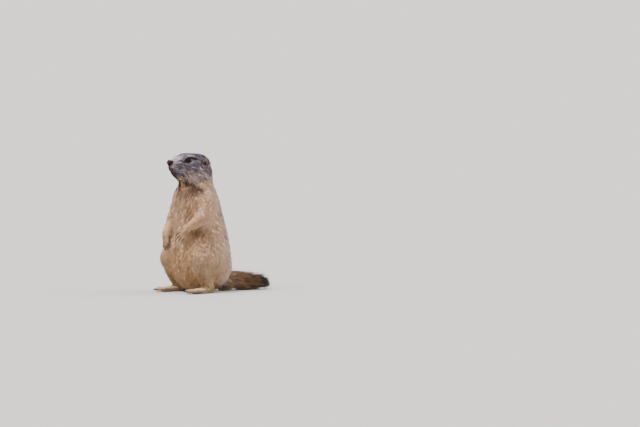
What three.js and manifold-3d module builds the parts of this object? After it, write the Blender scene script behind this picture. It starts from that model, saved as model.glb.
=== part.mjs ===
// An alpine marmot sitting upright on its haunches, life size, as a museum shows one.
// Millimetres, +Z up. The body faces -Y and its left side is +X. The origin is on the floor,
// on the flat under the rump. The head is turned to the animal's right.
import * as THREE from "three";
import { mergeVertices } from "three/addons/utils/BufferGeometryUtils.js";
import Module from "manifold-3d";

const wasm = await Module();
wasm.setup();

// Driving dimensions
const SITTING_HEIGHT = 341; // floor to crown
const HEAD_LENGTH = 110; // nose to nape, fur included
const TAIL_LENGTH = 165; // rump to the last hairs
const FOOT_LENGTH = 82; // heel to toe tips, without claws
const HAND_LENGTH = 36; // wrist to finger tips, without claws
const CLAW_LENGTH = 8.5; // what shows of a claw
const HEAD_TURN = THREE.MathUtils.degToRad(30); // to the animal's right
const GAP = 0.3; // between touching pieces

// Body sizes are in hundredths of the sitting height, head sizes in hundredths of the head's length.
const bu = SITTING_HEIGHT / 100;
const hu = HEAD_LENGTH / 100;
const point = (x, y, z) => new THREE.Vector3(x, y, z);
const body = (x, y, z) => point(x, y, z).multiplyScalar(bu);
const head = (x, y, z) => point(x, y, z).multiplyScalar(hu);
const mirrored = (p) => point(-p.x, p.y, p.z);
const lerp = THREE.MathUtils.lerp;
const UP = point(0, 0, 1);

// Mesh sizes, the side of a sampling cell
const TORSO_CELL = 16;
const LIMB_CELL = 11;
const FOREARM_CELL = 8;
const NECK_CELL = 10.5;
const HEAD_CELL = 4.8;
const NOSE_CELL = 3.1;

// Fields: each returns a function that is negative inside the form and near enough the distance outside.

function ellipsoid(centre, radii, tilt = new THREE.Euler()) {
  const back = new THREE.Quaternion().setFromEuler(tilt).invert();
  const q = point();
  return (p) => {
    q.copy(p).sub(centre).applyQuaternion(back).divide(radii);
    const near = q.length();
    const slope = q.divide(radii).length();
    return slope < 1e-9 ? -Math.min(radii.x, radii.y, radii.z) : (near * (near - 1)) / slope;
  };
}

// A tapered round limb from a to b.
function limb(a, b, ra, rb) {
  const along = b.clone().sub(a);
  const q = point();
  return (p) => {
    const t = THREE.MathUtils.clamp(q.copy(p).sub(a).dot(along) / along.lengthSq(), 0, 1);
    return q.copy(a).addScaledVector(along, t).distanceTo(p) - lerp(ra, rb, t);
  };
}

function smoothMin(a, b, soft) {
  const h = Math.max(soft - Math.abs(a - b), 0) / soft;
  return Math.min(a, b) - (h * h * soft) / 4;
}

const blend = (soft, ...fields) => (p) =>
  fields.reduce((sum, field) => smoothMin(sum, field(p), soft), Infinity);

const hollowed = (soft, field, cutter) => (p) => -smoothMin(-field(p), cutter(p), soft);

// The closed surface where field is 0, inside the box from low to high, by surface nets.
function skinOf(field, low, high, cell) {
  const counts = high.clone().sub(low).divideScalar(cell).ceil();
  const [nx, ny, nz] = [counts.x + 1, counts.y + 1, counts.z + 1];
  const id = (i, j, k) => i + nx * (j + ny * k);
  const value = new Float64Array(nx * ny * nz);
  const corner = (i, j, k) => point(low.x + i * cell, low.y + j * cell, low.z + k * cell);
  for (let k = 0; k < nz; k++)
    for (let j = 0; j < ny; j++)
      for (let i = 0; i < nx; i++) {
        const rim = i * j * k === 0 || i === nx - 1 || j === ny - 1 || k === nz - 1;
        const f = field(corner(i, j, k));
        value[id(i, j, k)] = rim ? Math.max(f, cell * 0.1) : f;
      }
  const position = [];
  const vertexOf = new Map();
  const ends = [0, 1].flatMap((k) => [0, 1].flatMap((j) => [0, 1].map((i) => [i, j, k])));
  const vertexAt = (i, j, k) => {
    const key = id(i, j, k);
    if (vertexOf.has(key)) return vertexOf.get(key);
    const mean = point();
    let crossings = 0;
    for (const [a, b, c] of ends)
      for (const [da, db, dc] of [[1, 0, 0], [0, 1, 0], [0, 0, 1]]) {
        if (a + da > 1 || b + db > 1 || c + dc > 1) continue;
        const f0 = value[id(i + a, j + b, k + c)];
        const f1 = value[id(i + a + da, j + b + db, k + c + dc)];
        if (f0 < 0 === f1 < 0) continue;
        const t = f0 / (f0 - f1);
        mean.add(corner(i + a + da * t, j + b + db * t, k + c + dc * t));
        crossings++;
      }
    mean.divideScalar(crossings);
    position.push(...settled(field, mean, cell).toArray());
    vertexOf.set(key, position.length / 3 - 1);
    return vertexOf.get(key);
  };
  const index = [];
  const face = (a, b, c, d, flip) => {
    const at = (n) => point().fromArray(position, n * 3);
    const even = at(a).distanceTo(at(c)) <= at(b).distanceTo(at(d));
    const tris = even ? [a, b, c, a, c, d] : [b, c, d, b, d, a];
    if (flip) tris.reverse();
    index.push(...tris);
  };
  const steps = [[1, 0, 0], [0, 1, 0], [0, 0, 1]];
  for (let k = 0; k < nz - 1; k++)
    for (let j = 0; j < ny - 1; j++)
      for (let i = 0; i < nx - 1; i++)
        for (let axis = 0; axis < 3; axis++) {
          const [u, v] = [steps[(axis + 1) % 3], steps[(axis + 2) % 3]];
          const [x, y, z] = steps[axis];
          const at = [i, j, k];
          if (at[(axis + 1) % 3] * at[(axis + 2) % 3] === 0) continue;
          const inside = value[id(i, j, k)] < 0;
          if (inside === value[id(i + x, j + y, k + z)] < 0) continue;
          const cellBack = (a, b) => vertexAt(...at.map((n, c) => n - a * u[c] - b * v[c]));
          face(cellBack(1, 1), cellBack(0, 1), cellBack(0, 0), cellBack(1, 0), !inside);
        }
  const geometry = new THREE.BufferGeometry();
  geometry.setAttribute("position", new THREE.Float32BufferAttribute(position, 3));
  return geometry.setIndex(index);
}

// p moved onto the surface of field along its slope, by at most half a cell.
function settled(field, p, cell) {
  const start = p.clone();
  for (let turn = 0; turn < 3; turn++) {
    const f = field(p);
    const slope = point(
      field(point(p.x + 0.1, p.y, p.z)) - f,
      field(point(p.x, p.y + 0.1, p.z)) - f,
      field(point(p.x, p.y, p.z + 0.1)) - f,
    ).divideScalar(0.1);
    p.addScaledVector(slope, -f / Math.max(slope.lengthSq(), 0.1));
  }
  return p.sub(start).clampLength(0, cell / 2).add(start);
}

// A closed tube round a smooth line through points. sizes holds one [half width, half thickness] for each
// point, and across is the way that the width runs, as near as it can.
function tube(points, sizes, { sides = 8, steps = 3, across = point(1, 0, 0) } = {}) {
  const line = new THREE.CatmullRomCurve3(points);
  const girth = new THREE.CatmullRomCurve3(sizes.map(([wide, thick]) => point(wide, thick, 0)));
  const rings = (points.length - 1) * steps;
  const position = [];
  for (let i = 0; i <= rings; i++) {
    const along = line.getTangent(i / rings);
    const thickWay = along.clone().cross(across).normalize();
    const wideWay = thickWay.clone().cross(along);
    const size = girth.getPoint(i / rings);
    for (let j = 0; j < sides; j++) {
      const angle = ((j + 0.5) / sides) * 2 * Math.PI;
      const p = line.getPoint(i / rings);
      p.addScaledVector(wideWay, Math.cos(angle) * size.x);
      position.push(...p.addScaledVector(thickWay, Math.sin(angle) * size.y).toArray());
    }
  }
  const index = [];
  for (let i = 0; i < rings; i++)
    for (let j = 0; j < sides; j++) {
      const [a, b] = [i * sides + j, i * sides + ((j + 1) % sides)];
      index.push(a, b, b + sides, a, b + sides, a + sides);
    }
  const [first, last] = [position.length / 3, position.length / 3 + 1];
  for (const [t, way, [, thick]] of [[0, -1, sizes[0]], [1, 1, sizes.at(-1)]])
    position.push(...line.getPoint(t).addScaledVector(line.getTangent(t), way * thick * 0.6).toArray());
  for (let j = 0; j < sides; j++) {
    const next = (j + 1) % sides;
    index.push(first, next, j, last, rings * sides + j, rings * sides + next);
  }
  const geometry = new THREE.BufferGeometry();
  geometry.setAttribute("position", new THREE.Float32BufferAttribute(position, 3));
  return geometry.setIndex(index);
}

// Solids

function solid(geometry) {
  const bare = geometry.clone();
  bare.deleteAttribute("normal");
  bare.deleteAttribute("uv");
  const merged = mergeVertices(bare, 1e-4);
  const corners = Array.from(merged.index.array);
  const flat = (i) => new Set(corners.slice(i - (i % 3), i - (i % 3) + 3)).size < 3;
  const triVerts = new Uint32Array(corners.filter((_, i) => !flat(i)));
  const vertProperties = merged.attributes.position.array;
  const made = new wasm.Manifold(new wasm.Mesh({ numProp: 3, vertProperties, triVerts }));
  if (made.volume() > 0) return made;
  triVerts.reverse();
  return new wasm.Manifold(new wasm.Mesh({ numProp: 3, vertProperties, triVerts }));
}

// A tapered rod with round ends from a to b, of few faces.
function pill(a, b, ra, rb, sides = 14, arcs = 4) {
  const length = a.distanceTo(b);
  const arc = (from, radius, height) =>
    Array.from({ length: arcs + 1 }, (_, i) => {
      const angle = from + (i / arcs) * (Math.PI / 2);
      return new THREE.Vector2(Math.max(Math.cos(angle) * radius, 0), height + Math.sin(angle) * radius);
    });
  const profile = [...arc(-Math.PI / 2, ra, 0), ...arc(0, rb, length)];
  const way = b.clone().sub(a).normalize();
  const turn = new THREE.Quaternion().setFromUnitVectors(point(0, 1, 0), way);
  return solid(new THREE.LatheGeometry(profile, sides).applyQuaternion(turn).translate(a.x, a.y, a.z));
}

function ball(centre, radii) {
  const round = new THREE.IcosahedronGeometry(1, 2).scale(radii.x, radii.y, radii.z);
  return solid(round.translate(centre.x, centre.y, centre.z));
}

function geometryOf(made) {
  const mesh = made.getMesh();
  const geometry = new THREE.BufferGeometry();
  geometry.setAttribute("position", new THREE.BufferAttribute(new Float32Array(mesh.vertProperties), 3));
  return geometry.setIndex(new THREE.BufferAttribute(new Uint32Array(mesh.triVerts), 1));
}

// The solid with its surface moved out by a little more than the gap, to cut a neighbour with.
function grown(made, by = GAP + 0.05) {
  const geometry = geometryOf(made);
  geometry.computeVertexNormals();
  const { position, normal } = geometry.attributes;
  for (let i = 0; i < position.count; i++) {
    const p = point().fromBufferAttribute(position, i);
    const way = point().fromBufferAttribute(normal, i);
    p.addScaledVector(way, by);
    position.setXYZ(i, p.x, p.y, p.z);
  }
  return solid(geometry);
}

// Everything on the side of a plane that its normal points to.
function beyond(at, normal) {
  const reach = 2 * SITTING_HEIGHT;
  const turn = new THREE.Quaternion().setFromUnitVectors(UP, normal.clone().normalize());
  const block = new THREE.BoxGeometry(2 * reach, 2 * reach, 2 * reach).translate(0, 0, reach);
  return solid(block.applyQuaternion(turn).translate(at.x, at.y, at.z));
}

const largest = (made) => made.decompose().sort((a, b) => b.volume() - a.volume())[0];
const without = (made, ...cutters) => cutters.reduce((rest, cutter) => rest.subtract(grown(cutter)), made);

// The body's joints. The right side's points are written as on the left and mirrored. The arms hang unalike.

const SIDES = { left: 1, right: -1 };
const bothSides = (left, right = left) => ({ left, right: mirrored(right) });
const eachSide = (make) => ({ left: make("left"), right: make("right") });

const SHOULDER = bothSides(body(12.4, -0.6, 65), body(11.4, -3.5, 69.5));
const ELBOW = bothSides(body(17.2, -6.5, 55), body(18, -5, 53.5));
const WRIST = bothSides(body(13, -17.8, 47.4), body(13.4, -17.2, 42));
const UPPER_ARM = [6.6 * bu, 4.9 * bu];
const FOREARM = [4.9 * bu, 3.1 * bu];
const FOREARM_START = 2 * bu; // from the elbow to where the forearm's node begins
const HAND_WAY = bothSides(point(-0.54, -0.42, -0.73), point(-0.24, -0.16, -0.95));
const HIP = bothSides(body(14.2, 7, 18));
const KNEE = bothSides(body(17.6, -9.5, 24));
const THIGH = [11.2 * bu, 8.4 * bu];
const ANKLE = bothSides(body(16.6, -2, 3.6));
const HEEL = bothSides(body(16, 2, 2.1));
const FOOT_WAY = bothSides(point(0.08, -1, 0));

const TORSO_FIELDS = [
  ellipsoid(body(0, 4.6, 17), body(21.2, 20.2, 18.4)), // rump
  ellipsoid(body(0, 3.4, 31.5), body(22, 21.4, 23)), // belly
  ellipsoid(body(0, 4, 49), body(17, 16.8, 20)), // ribs
  ellipsoid(body(0, 1.8, 63), body(13.6, 12.8, 13)), // shoulders
];
const NECK_FIELD = limb(body(0, 2, 68), body(0, 2.4, 82), 11.8 * bu, 9.6 * bu);
const upperArmField = (side) => limb(SHOULDER[side], ELBOW[side], ...UPPER_ARM);
const forearmField = (side) => limb(ELBOW[side], WRIST[side], ...FOREARM);
const thighField = (side) => limb(HIP[side], KNEE[side], ...THIGH);

// The head's own frame: x to its left, y back from the tip of the nose, z up.

const NOSE_TIP = body(-12, -17.2, 92.7);
const headPlace = new THREE.Matrix4().makeRotationZ(-HEAD_TURN).setPosition(NOSE_TIP);
const headPlaceBack = headPlace.clone().invert();

const EYE = { at: head(15.4, 48.2, 5), radius: 7 * hu, way: point(0.88, -0.42, 0.22).normalize() };
const LID = { thick: 1.1 * hu, length: 10.7 * hu, height: 6.4 * hu }; // length and height of the opening
const EAR = { at: head(31, 81.5, 1.8), wide: 9.4 * hu, tall: 11.6 * hu, lean: -0.45 };
const EAR_WAY = point(0.93, -0.33, 0.16).normalize();
const MOUTH = { front: head(0, 14, -18.2), corner: head(0, 36, -26.4), wide: 1.2 * hu, deep: 2.7 * hu };

const pair = (make) => [make(1), make(-1)];
const HEAD_FIELDS = [
  ellipsoid(head(0, 67.2, -3.4), head(27, 30, 24.4)), // braincase
  ellipsoid(head(0, 46, 3.6), head(20, 26, 17.4)), // forehead
  limb(head(0, 12.2, 5.6), head(0, 38, 5), 7.2 * hu, 15.8 * hu), // bridge of the nose
  limb(head(0, 13, -8), head(0, 42, -12), 8.6 * hu, 19 * hu), // muzzle
  limb(head(0, 16, -23.4), head(0, 46, -35), 6.4 * hu, 17 * hu), // lower jaw
  ...pair((s) => ellipsoid(head(s * 6.6, 16, -9.4), head(8, 9.5, 8.8))), // whisker pads
  ...pair((s) => ellipsoid(head(s * 12.5, 50, -4), head(8.6, 17, 10))), // cheekbones
  ...pair((s) => ellipsoid(head(s * 13.5, 61, -19), head(19.4, 31, 23))), // cheeks
  ...pair((s) => limb(head(s * 12, 38, 12), head(s * 17, 57, 11.5), 4.6 * hu, 6 * hu)), // brows
  ellipsoid(head(0, 66, -29), head(22, 32, 20)), // throat
  limb(head(0, 43, -40), head(0, 52, -62), 14 * hu, 24 * hu), // the long hair under it
];
const SOCKET_FIELDS = pair((s) => ellipsoid(head(s * 26, 40, 3.4), head(4.6, 6.4, 4.6)));
const NOSE_FIELDS = [
  ellipsoid(head(0, 7, 1.4), head(5.6, 7, 5.8)), // its middle
  ...pair((s) => ellipsoid(head(s * 4.3, 7.8, -0.4), head(4.7, 7.4, 6))), // wings
  limb(head(0, 6.4, -4), head(0, 7.6, -8.6), 3.2 * hu, 2.4 * hu), // the strip down to the lip
];

const headAlone = hollowed(4 * hu, blend(9 * hu, ...HEAD_FIELDS), blend(1, ...SOCKET_FIELDS));
const headField = (() => {
  const q = point();
  return (p) => headAlone(q.copy(p).applyMatrix4(headPlaceBack));
})();

const trunkField = blend(
  5 * bu,
  blend(9 * bu, ...TORSO_FIELDS, NECK_FIELD),
  headField,
  ...Object.keys(SIDES).flatMap((side) => [upperArmField(side), thighField(side)]),
);
const wholeField = blend(2.4 * bu, trunkField, forearmField("left"), forearmField("right"));

// Where the whole is parted

const NAPE = head(0, 100, -24).applyMatrix4(headPlace);
const THROAT_NORMAL = point(0, -0.46, 1).normalize().applyAxisAngle(UP, -HEAD_TURN);
const NECK_BASE = body(0, 2, 69.5);
const NECK_NORMAL = point(0, -0.12, 1).normalize();
const aboveThroat = (shift) => beyond(NAPE.clone().addScaledVector(THROAT_NORMAL, shift), THROAT_NORMAL);
const aboveNeckBase = (shift) => beyond(NECK_BASE.clone().addScaledVector(NECK_NORMAL, shift), NECK_NORMAL);
const aboveFloor = beyond(point(0, 0, 0), UP);

// A limb's share of the skin: a rod round its own form, shifted outward so that it cuts the skin steeply.
function shareOf(side, [a, b], [ra, rb], reach, [outA, outB]) {
  const out = (p, by) => p.clone().add(point(SIDES[side] * by, 0, 0));
  return pill(out(a, outA), out(b, outB), ra + reach, rb + reach);
}

const armShare = eachSide((side) =>
  shareOf(side, [SHOULDER[side], ELBOW[side]], UPPER_ARM, 1.1 * bu, [3 * bu, 1.6 * bu]),
);
const forearmShare = eachSide((side) =>
  shareOf(side, [ELBOW[side], WRIST[side]], FOREARM, 0.9 * bu, [1.2 * bu, 0.4 * bu]),
);
const thighShare = eachSide((side) =>
  shareOf(side, [HIP[side], KNEE[side]], THIGH, 0.9 * bu, [4.6 * bu, 1.8 * bu]),
);

// Head, neck and torso

const sampled = (low, high, cell) => solid(skinOf(wholeField, low, high, cell));

function makeTorso() {
  const whole = sampled(body(-32, -30, -4), body(32, 34, 76), TORSO_CELL).intersect(aboveFloor);
  const limbs = [armShare, forearmShare, thighShare, shankRod].flatMap(({ left, right }) => [left, right]);
  return largest(without(whole.subtract(aboveNeckBase(-GAP)), ...limbs));
}

function makeNeck() {
  const band = sampled(body(-20, -26, 62), body(20, 24, 104), NECK_CELL);
  const neck = band.intersect(aboveNeckBase(0)).subtract(aboveThroat(-GAP));
  return largest(without(neck, armShare.left, armShare.right));
}

// The point of the head's own skin that lies from a point inside along way.
function onHead(from, way) {
  const p = from.clone();
  for (let turn = 0; turn < 60 && headAlone(p) < -0.02; turn++)
    p.addScaledVector(way, Math.max(-headAlone(p) * 0.7, 0.02));
  return p;
}

const MOUTH_STEPS = 5; // from the front to each corner
const MOUTH_BEND = 1.3; // above 1 the line stays high round the front and drops towards the corners

// The line of the mouth, from the right corner round the front to the left one.
function mouthLine() {
  const points = [];
  for (let i = -MOUTH_STEPS; i <= MOUTH_STEPS; i++) {
    const t = i / MOUTH_STEPS;
    const angle = (t * Math.PI) / 2;
    const from = MOUTH.front.clone().lerp(MOUTH.corner, Math.abs(t) ** MOUTH_BEND);
    points.push(onHead(from, point(Math.sin(angle), -Math.cos(angle), 0)));
  }
  return points;
}

// The head with the line of its closed mouth cut in, which runs out at the corners.
function withMouth(flesh) {
  const line = mouthLine();
  const sizes = line.map((_, i) => {
    const part = i % (2 * MOUTH_STEPS) === 0 ? 0.4 : 1;
    return [MOUTH.wide * part, MOUTH.deep * part];
  });
  return flesh.subtract(solid(tube(line, sizes, { sides: 4, steps: 1, across: UP })));
}

// A frame at a point of the head, its z along way and its y as near up as it can be.
function frameAt(at, way) {
  const side = UP.clone().cross(way).normalize();
  return new THREE.Matrix4().makeBasis(side, way.clone().cross(side), way).setPosition(at);
}

// The almond between the lids, from the middle of the eye outward.
function lidOpening() {
  const shape = new THREE.Shape();
  shape.moveTo(-LID.length / 2, -LID.height * 0.16);
  shape.quadraticCurveTo(0, LID.height * 1.15, LID.length / 2, 0);
  shape.quadraticCurveTo(0, -LID.height, -LID.length / 2, -LID.height * 0.16);
  const look = { depth: 3 * EYE.radius, bevelEnabled: false, curveSegments: 6 };
  return solid(new THREE.ExtrudeGeometry(shape, look).applyMatrix4(frameAt(EYE.at, EYE.way)));
}

const eyeball = (extra) => ball(EYE.at, point(1, 1, 1).multiplyScalar(EYE.radius + extra));
const bothOf = (made) => made.add(made.mirror([1, 0, 0]));

// The head with lids over its eyes and a socket for each ball.
function withEyes(flesh) {
  const lids = bothOf(eyeball(LID.thick));
  return flesh.add(lids).subtract(bothOf(lidOpening())).subtract(bothOf(eyeball(GAP)));
}

const nosePad = solid(skinOf(blend(3 * hu, ...NOSE_FIELDS), head(-14, -5, -15), head(14, 20, 12), NOSE_CELL));

// The pad of the nose with its two comma-shaped nostrils.
function makeNose() {
  const line = [head(3.2, 0.6, -2.2), head(6, 2, -3.2), head(8, 5.4, -2), head(9.4, 9.4, 0.4)];
  const sizes = [0.9, 1.5, 1.1, 0.5].map((r) => [r * hu, r * hu]);
  return nosePad.subtract(bothOf(solid(tube(line, sizes, { sides: 5, steps: 1 }))));
}

function makeHead() {
  const q = point();
  const local = (p) => wholeField(q.copy(p).applyMatrix4(headPlace).clone());
  const whole = solid(skinOf(local, head(-44, -8, -66), head(44, 118, 34), HEAD_CELL));
  const featured = without(withEyes(withMouth(whole)), nosePad);
  const placed = featured.transform(headPlace.elements).intersect(aboveThroat(0));
  return largest(without(placed, armShare.left, armShare.right));
}

// The cup of an ear: a bowl of revolution, drawn out to its height, that faces out and forward. Its
// outline runs from the back of the bowl over the rim and down inside, in parts of its radius.
function earBowl() {
  const outside = [[0, -0.62], [0.5, -0.57], [0.86, -0.34], [1, 0]];
  const inside = [[0.93, 0.15], [0.78, 0.05], [0.56, -0.24], [0.26, -0.4], [0, -0.44]];
  const outline = [...outside, ...inside].map(([r, h]) => new THREE.Vector2(r, h));
  const bowl = new THREE.LatheGeometry(outline, 16).rotateX(Math.PI / 2);
  bowl.scale(EAR.wide, EAR.tall, EAR.wide).rotateZ(EAR.lean);
  return solid(bowl.applyMatrix4(frameAt(EAR.at, EAR_WAY)));
}

// Limbs

// The plane across an elbow, moved along the forearm by shift.
function pastElbow(side, shift) {
  const way = WRIST[side].clone().sub(ELBOW[side]).normalize();
  return beyond(ELBOW[side].clone().addScaledVector(way, FOREARM_START + shift), way);
}

const upperArm = eachSide((side) => {
  const whole = sampled(body(-32, -34, 36), body(32, 34, 84), LIMB_CELL);
  return largest(whole.intersect(armShare[side]).subtract(pastElbow(side, -GAP)));
});

const forearm = eachSide((side) => {
  const low = body(SIDES[side] > 0 ? 4 : -26, -26, 34);
  const whole = sampled(low, low.clone().add(body(22, 30, 30)), FOREARM_CELL);
  return largest(whole.intersect(forearmShare[side]).intersect(pastElbow(side, 0)));
});

const thigh = eachSide((side) => {
  const whole = sampled(body(-34, -32, -4), body(34, 34, 50), LIMB_CELL);
  return largest(whole.intersect(thighShare[side]).intersect(aboveFloor));
});

const shankRod = eachSide((side) => {
  const middle = KNEE[side].clone().lerp(ANKLE[side], 0.5).add(body(0, -1.2, 0));
  const sizes = [[6.2 * bu, 6.4 * bu], [5.4 * bu, 5.8 * bu], [3.3 * bu, 3.6 * bu]];
  return solid(tube([KNEE[side], middle, ANKLE[side]], sizes, { sides: 10 }));
});

const makeShank = (side, foot) => largest(without(shankRod[side].intersect(aboveFloor), thigh[side], foot));

// Sizes of a paw, in parts of its length: half its width at the root and across the knuckles, its half
// height, and how far the digits drop. Those of its digits: their radius, how much of the length they take
// and how far their claws curl down.
const HAND = { length: HAND_LENGTH, root: 0.27, wide: 0.35, high: 0.21, drop: 0.076 };
const FINGERS = { count: 4, radius: 0.094, share: 0.44, curl: 0.1 };
const FOOT = { length: FOOT_LENGTH, root: 0.122, wide: 0.183, high: 0.091, drop: 0.03 };
const TOES = { count: 5, radius: 0.048, share: 0.3, curl: 0.018 };

// Places on a paw that starts at root and points along way: along, aside and up in parts of its length.
function pawPlaces(root, way, across, length) {
  const back = way.clone().cross(across).normalize();
  const side = back.clone().cross(way).normalize();
  const at = (along, aside, up) => {
    const p = root.clone().addScaledVector(way, along * length);
    return p.addScaledVector(side, aside * length).addScaledVector(back, up * length);
  };
  return { at, side };
}

function makePalm({ at, side }, paw, knuckles) {
  const line = [at(0, 0, 0), at(knuckles * 0.5, 0, 0), at(knuckles * 1.1, 0, -paw.drop * 0.6)];
  const sizes = [[paw.root, paw.high * 1.15], [paw.wide * 0.95, paw.high], [paw.wide, paw.high * 0.75]];
  const real = sizes.map((size) => size.map((part) => part * paw.length));
  return solid(tube(line, real, { sides: 8, steps: 2, across: side }));
}

// The i-th digit and its claw. t runs from -1 to 1 across the paw, and the outer digits are shorter.
function makeDigit({ at, side }, paw, digits, i) {
  const t = (2 * i) / (digits.count - 1) - 1;
  const knuckles = 1 - digits.share;
  const reach = 1 - digits.share * 0.35 * t * t;
  const r = digits.radius;
  const aside = t * (paw.wide - r * 0.7);
  const line = [
    at(knuckles * 0.8, aside * 0.9, -r * 0.4),
    at(lerp(knuckles, reach, 0.5), aside * 1.08, r * 0.3),
    at(reach, aside * 1.22, -paw.drop),
  ];
  const sizes = [[1, 1], [1.05, 1], [0.8, 0.75]].map((size) => size.map((part) => part * r * paw.length));
  const digit = solid(tube(line, sizes, { sides: 6, steps: 1, across: side }));
  const clawLine = [0, 0.5, 1].map((u) => {
    const along = reach + ((u - 0.16) * CLAW_LENGTH) / paw.length;
    return at(along, aside * (1.22 + 0.1 * u), -paw.drop + r * 0.35 - u * u * digits.curl);
  });
  const clawSizes = [[0.18, 0.22], [0.15, 0.19], [0.04, 0.04]];
  const real = clawSizes.map((size) => size.map((part) => part * CLAW_LENGTH));
  return { digit, claw: solid(tube(clawLine, real, { sides: 4, steps: 1, across: side })) };
}

// A paw: its palm or sole with the digits, as one solid, and a list of its claws.
function makePaw(root, way, across, paw, digits) {
  const places = pawPlaces(root, way.clone().normalize(), across, paw.length);
  const made = [];
  for (let i = 0; i < digits.count; i++) made.push(makeDigit(places, paw, digits, i));
  const palm = makePalm(places, paw, 1 - digits.share);
  const flesh = made.reduce((sum, { digit }) => sum.add(digit), palm);
  return { flesh, claws: made.map(({ claw }) => largest(without(claw, flesh))) };
}

// The tail: a core that reaches half way to the tips, and rings of flat tapered locks that lie back along it.

const TAIL_ROOT = body(0, 16, 8.4);
const TAIL_CORE = [5.4 * bu, 3.6 * bu, 3.1 * bu, 1.5 * bu]; // its radius, from the rump to the end
const TAIL_LOCKS = { rings: 7, around: 6, seed: 71 };
const LOCK = { length: 0.285 * TAIL_LENGTH, wide: 0.047 * TAIL_LENGTH, thick: 0.012 * TAIL_LENGTH };
const LOCK_LIFT = 0.082 * TAIL_LENGTH; // how far its tip stands off the core
const LOCK_REST = 1.6; // lowest middle of a lock over the floor

// Even draws between -1 and 1 that come out the same each time.
function draws(seed) {
  let state = seed;
  return () => {
    state = (state * 16807) % 2147483647;
    return (2 * state) / 2147483647 - 1;
  };
}

// A flat lock that grows from root, is widest at its belly and ends at tip. Its face looks along faceWay.
function lock(root, belly, tip, faceWay) {
  const across = tip.clone().sub(root).cross(faceWay).normalize();
  const sizes = [
    [LOCK.wide * 0.7, LOCK.thick],
    [LOCK.wide, LOCK.thick * 0.9],
    [LOCK.wide * 0.16, LOCK.thick * 0.3],
  ];
  return solid(tube([root, belly, tip], sizes, { sides: 4, steps: 1, across }));
}

// The lock at t along the tail's line and at angle round it. It keeps clear of the floor.
function tailLock(line, t, angle, reach) {
  const way = line.getTangentAt(t);
  const side = way.clone().cross(UP).normalize();
  const over = side.clone().cross(way);
  const out = side.multiplyScalar(Math.cos(angle)).addScaledVector(over, Math.sin(angle));
  const core = lerp(TAIL_CORE[1], TAIL_CORE[3], t);
  const from = (along, off) => line.getPointAt(t).addScaledVector(way, along).addScaledVector(out, off);
  const overFloor = (p) => p.setZ(Math.max(p.z, LOCK_REST));
  const belly = overFloor(from(reach * 0.45, core + LOCK_LIFT * 0.5));
  const tip = overFloor(from(reach, core + LOCK_LIFT * (1 - 0.75 * t)));
  return lock(from(-2, core * 0.45), belly, tip, out);
}

function tailLocks(line) {
  const draw = draws(TAIL_LOCKS.seed);
  const locks = [];
  for (let ring = 0; ring < TAIL_LOCKS.rings; ring++)
    for (let i = 0; i < TAIL_LOCKS.around; i++) {
      const t = (ring + 0.7 + 0.2 * draw()) / TAIL_LOCKS.rings;
      const turn = (i + 0.5 * (ring % 2) + 0.2 * draw()) / TAIL_LOCKS.around;
      locks.push(tailLock(line, t, turn * 2 * Math.PI, LOCK.length * (1 + 0.15 * draw())));
    }
  return locks;
}

// The tail lies straight back on the floor, bent a little to the left.
function makeTail(torso) {
  const end = TAIL_ROOT.y + TAIL_LENGTH - 0.8 * LOCK.length;
  const y = (t) => lerp(TAIL_ROOT.y, end, t);
  const bend = [point(2, y(0.36), 7.2 * bu), point(9, y(0.68), 6.4 * bu), point(20, y(1), 5.4 * bu)];
  const points = [TAIL_ROOT, ...bend];
  const core = solid(tube(points, TAIL_CORE.map((r) => [r, r]), { sides: 8, steps: 1 }));
  const locks = tailLocks(new THREE.CatmullRomCurve3(points));
  const whole = locks.reduce((sum, made) => sum.add(made), core);
  return largest(without(whole.intersect(aboveFloor), torso));
}

// The model

const COLOURS = { fur: 0xb59a78, face: 0x6f6670, pale: 0xc7ac8b, tail: 0x7a5c40 };
const BARE = { nose: 0x1c1818, eye: 0x120d0b, claw: 0x3a3029 };
const model = new THREE.Group();

function add(name, made, colour, roughness = 0.9) {
  const material = new THREE.MeshStandardMaterial({ color: colour, roughness, metalness: 0 });
  const mesh = new THREE.Mesh(geometryOf(made), material);
  mesh.name = name;
  model.add(mesh);
  return made;
}

const inPlace = (made) => made.transform(headPlace.elements);
const onItsSide = (side, made) => inPlace(side === "left" ? made : made.mirror([1, 0, 0]));

function addHand(side, torso) {
  const across = point(1, 0.2 * SIDES[side], 0);
  const { flesh, claws } = makePaw(WRIST[side], HAND_WAY[side], across, HAND, FINGERS);
  add(`hand_${side}`, largest(without(flesh, forearm[side], torso)), COLOURS.pale);
  claws.forEach((claw, i) => add(`claw_hand_${side}_${i + 1}`, claw, BARE.claw, 0.45));
}

function addFoot(side, torso) {
  const { flesh, claws } = makePaw(HEEL[side], FOOT_WAY[side], point(1, 0, 0), FOOT, TOES);
  claws.forEach((claw, i) => add(`claw_foot_${side}_${i + 1}`, claw, BARE.claw, 0.45));
  return add(`foot_${side}`, largest(without(flesh.intersect(aboveFloor), torso)), COLOURS.pale);
}

const skull = add("head", makeHead(), COLOURS.face);
add("nose", inPlace(makeNose()), BARE.nose, 0.6);
add("neck", makeNeck(), COLOURS.fur);
const torso = add("torso", makeTorso(), COLOURS.fur);
add("tail", makeTail(torso), COLOURS.tail);
for (const side of Object.keys(SIDES)) {
  add(`eye_${side}`, onItsSide(side, eyeball(0)), BARE.eye, 0.15);
  add(`ear_${side}`, largest(without(onItsSide(side, earBowl()), skull)), COLOURS.face);
  add(`upper_arm_${side}`, upperArm[side], COLOURS.pale);
  add(`forearm_${side}`, forearm[side], COLOURS.pale);
  addHand(side, torso);
  add(`thigh_${side}`, thigh[side], COLOURS.fur);
  const foot = addFoot(side, torso);
  add(`shank_${side}`, makeShank(side, foot), COLOURS.pale);
}

export default model;
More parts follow.
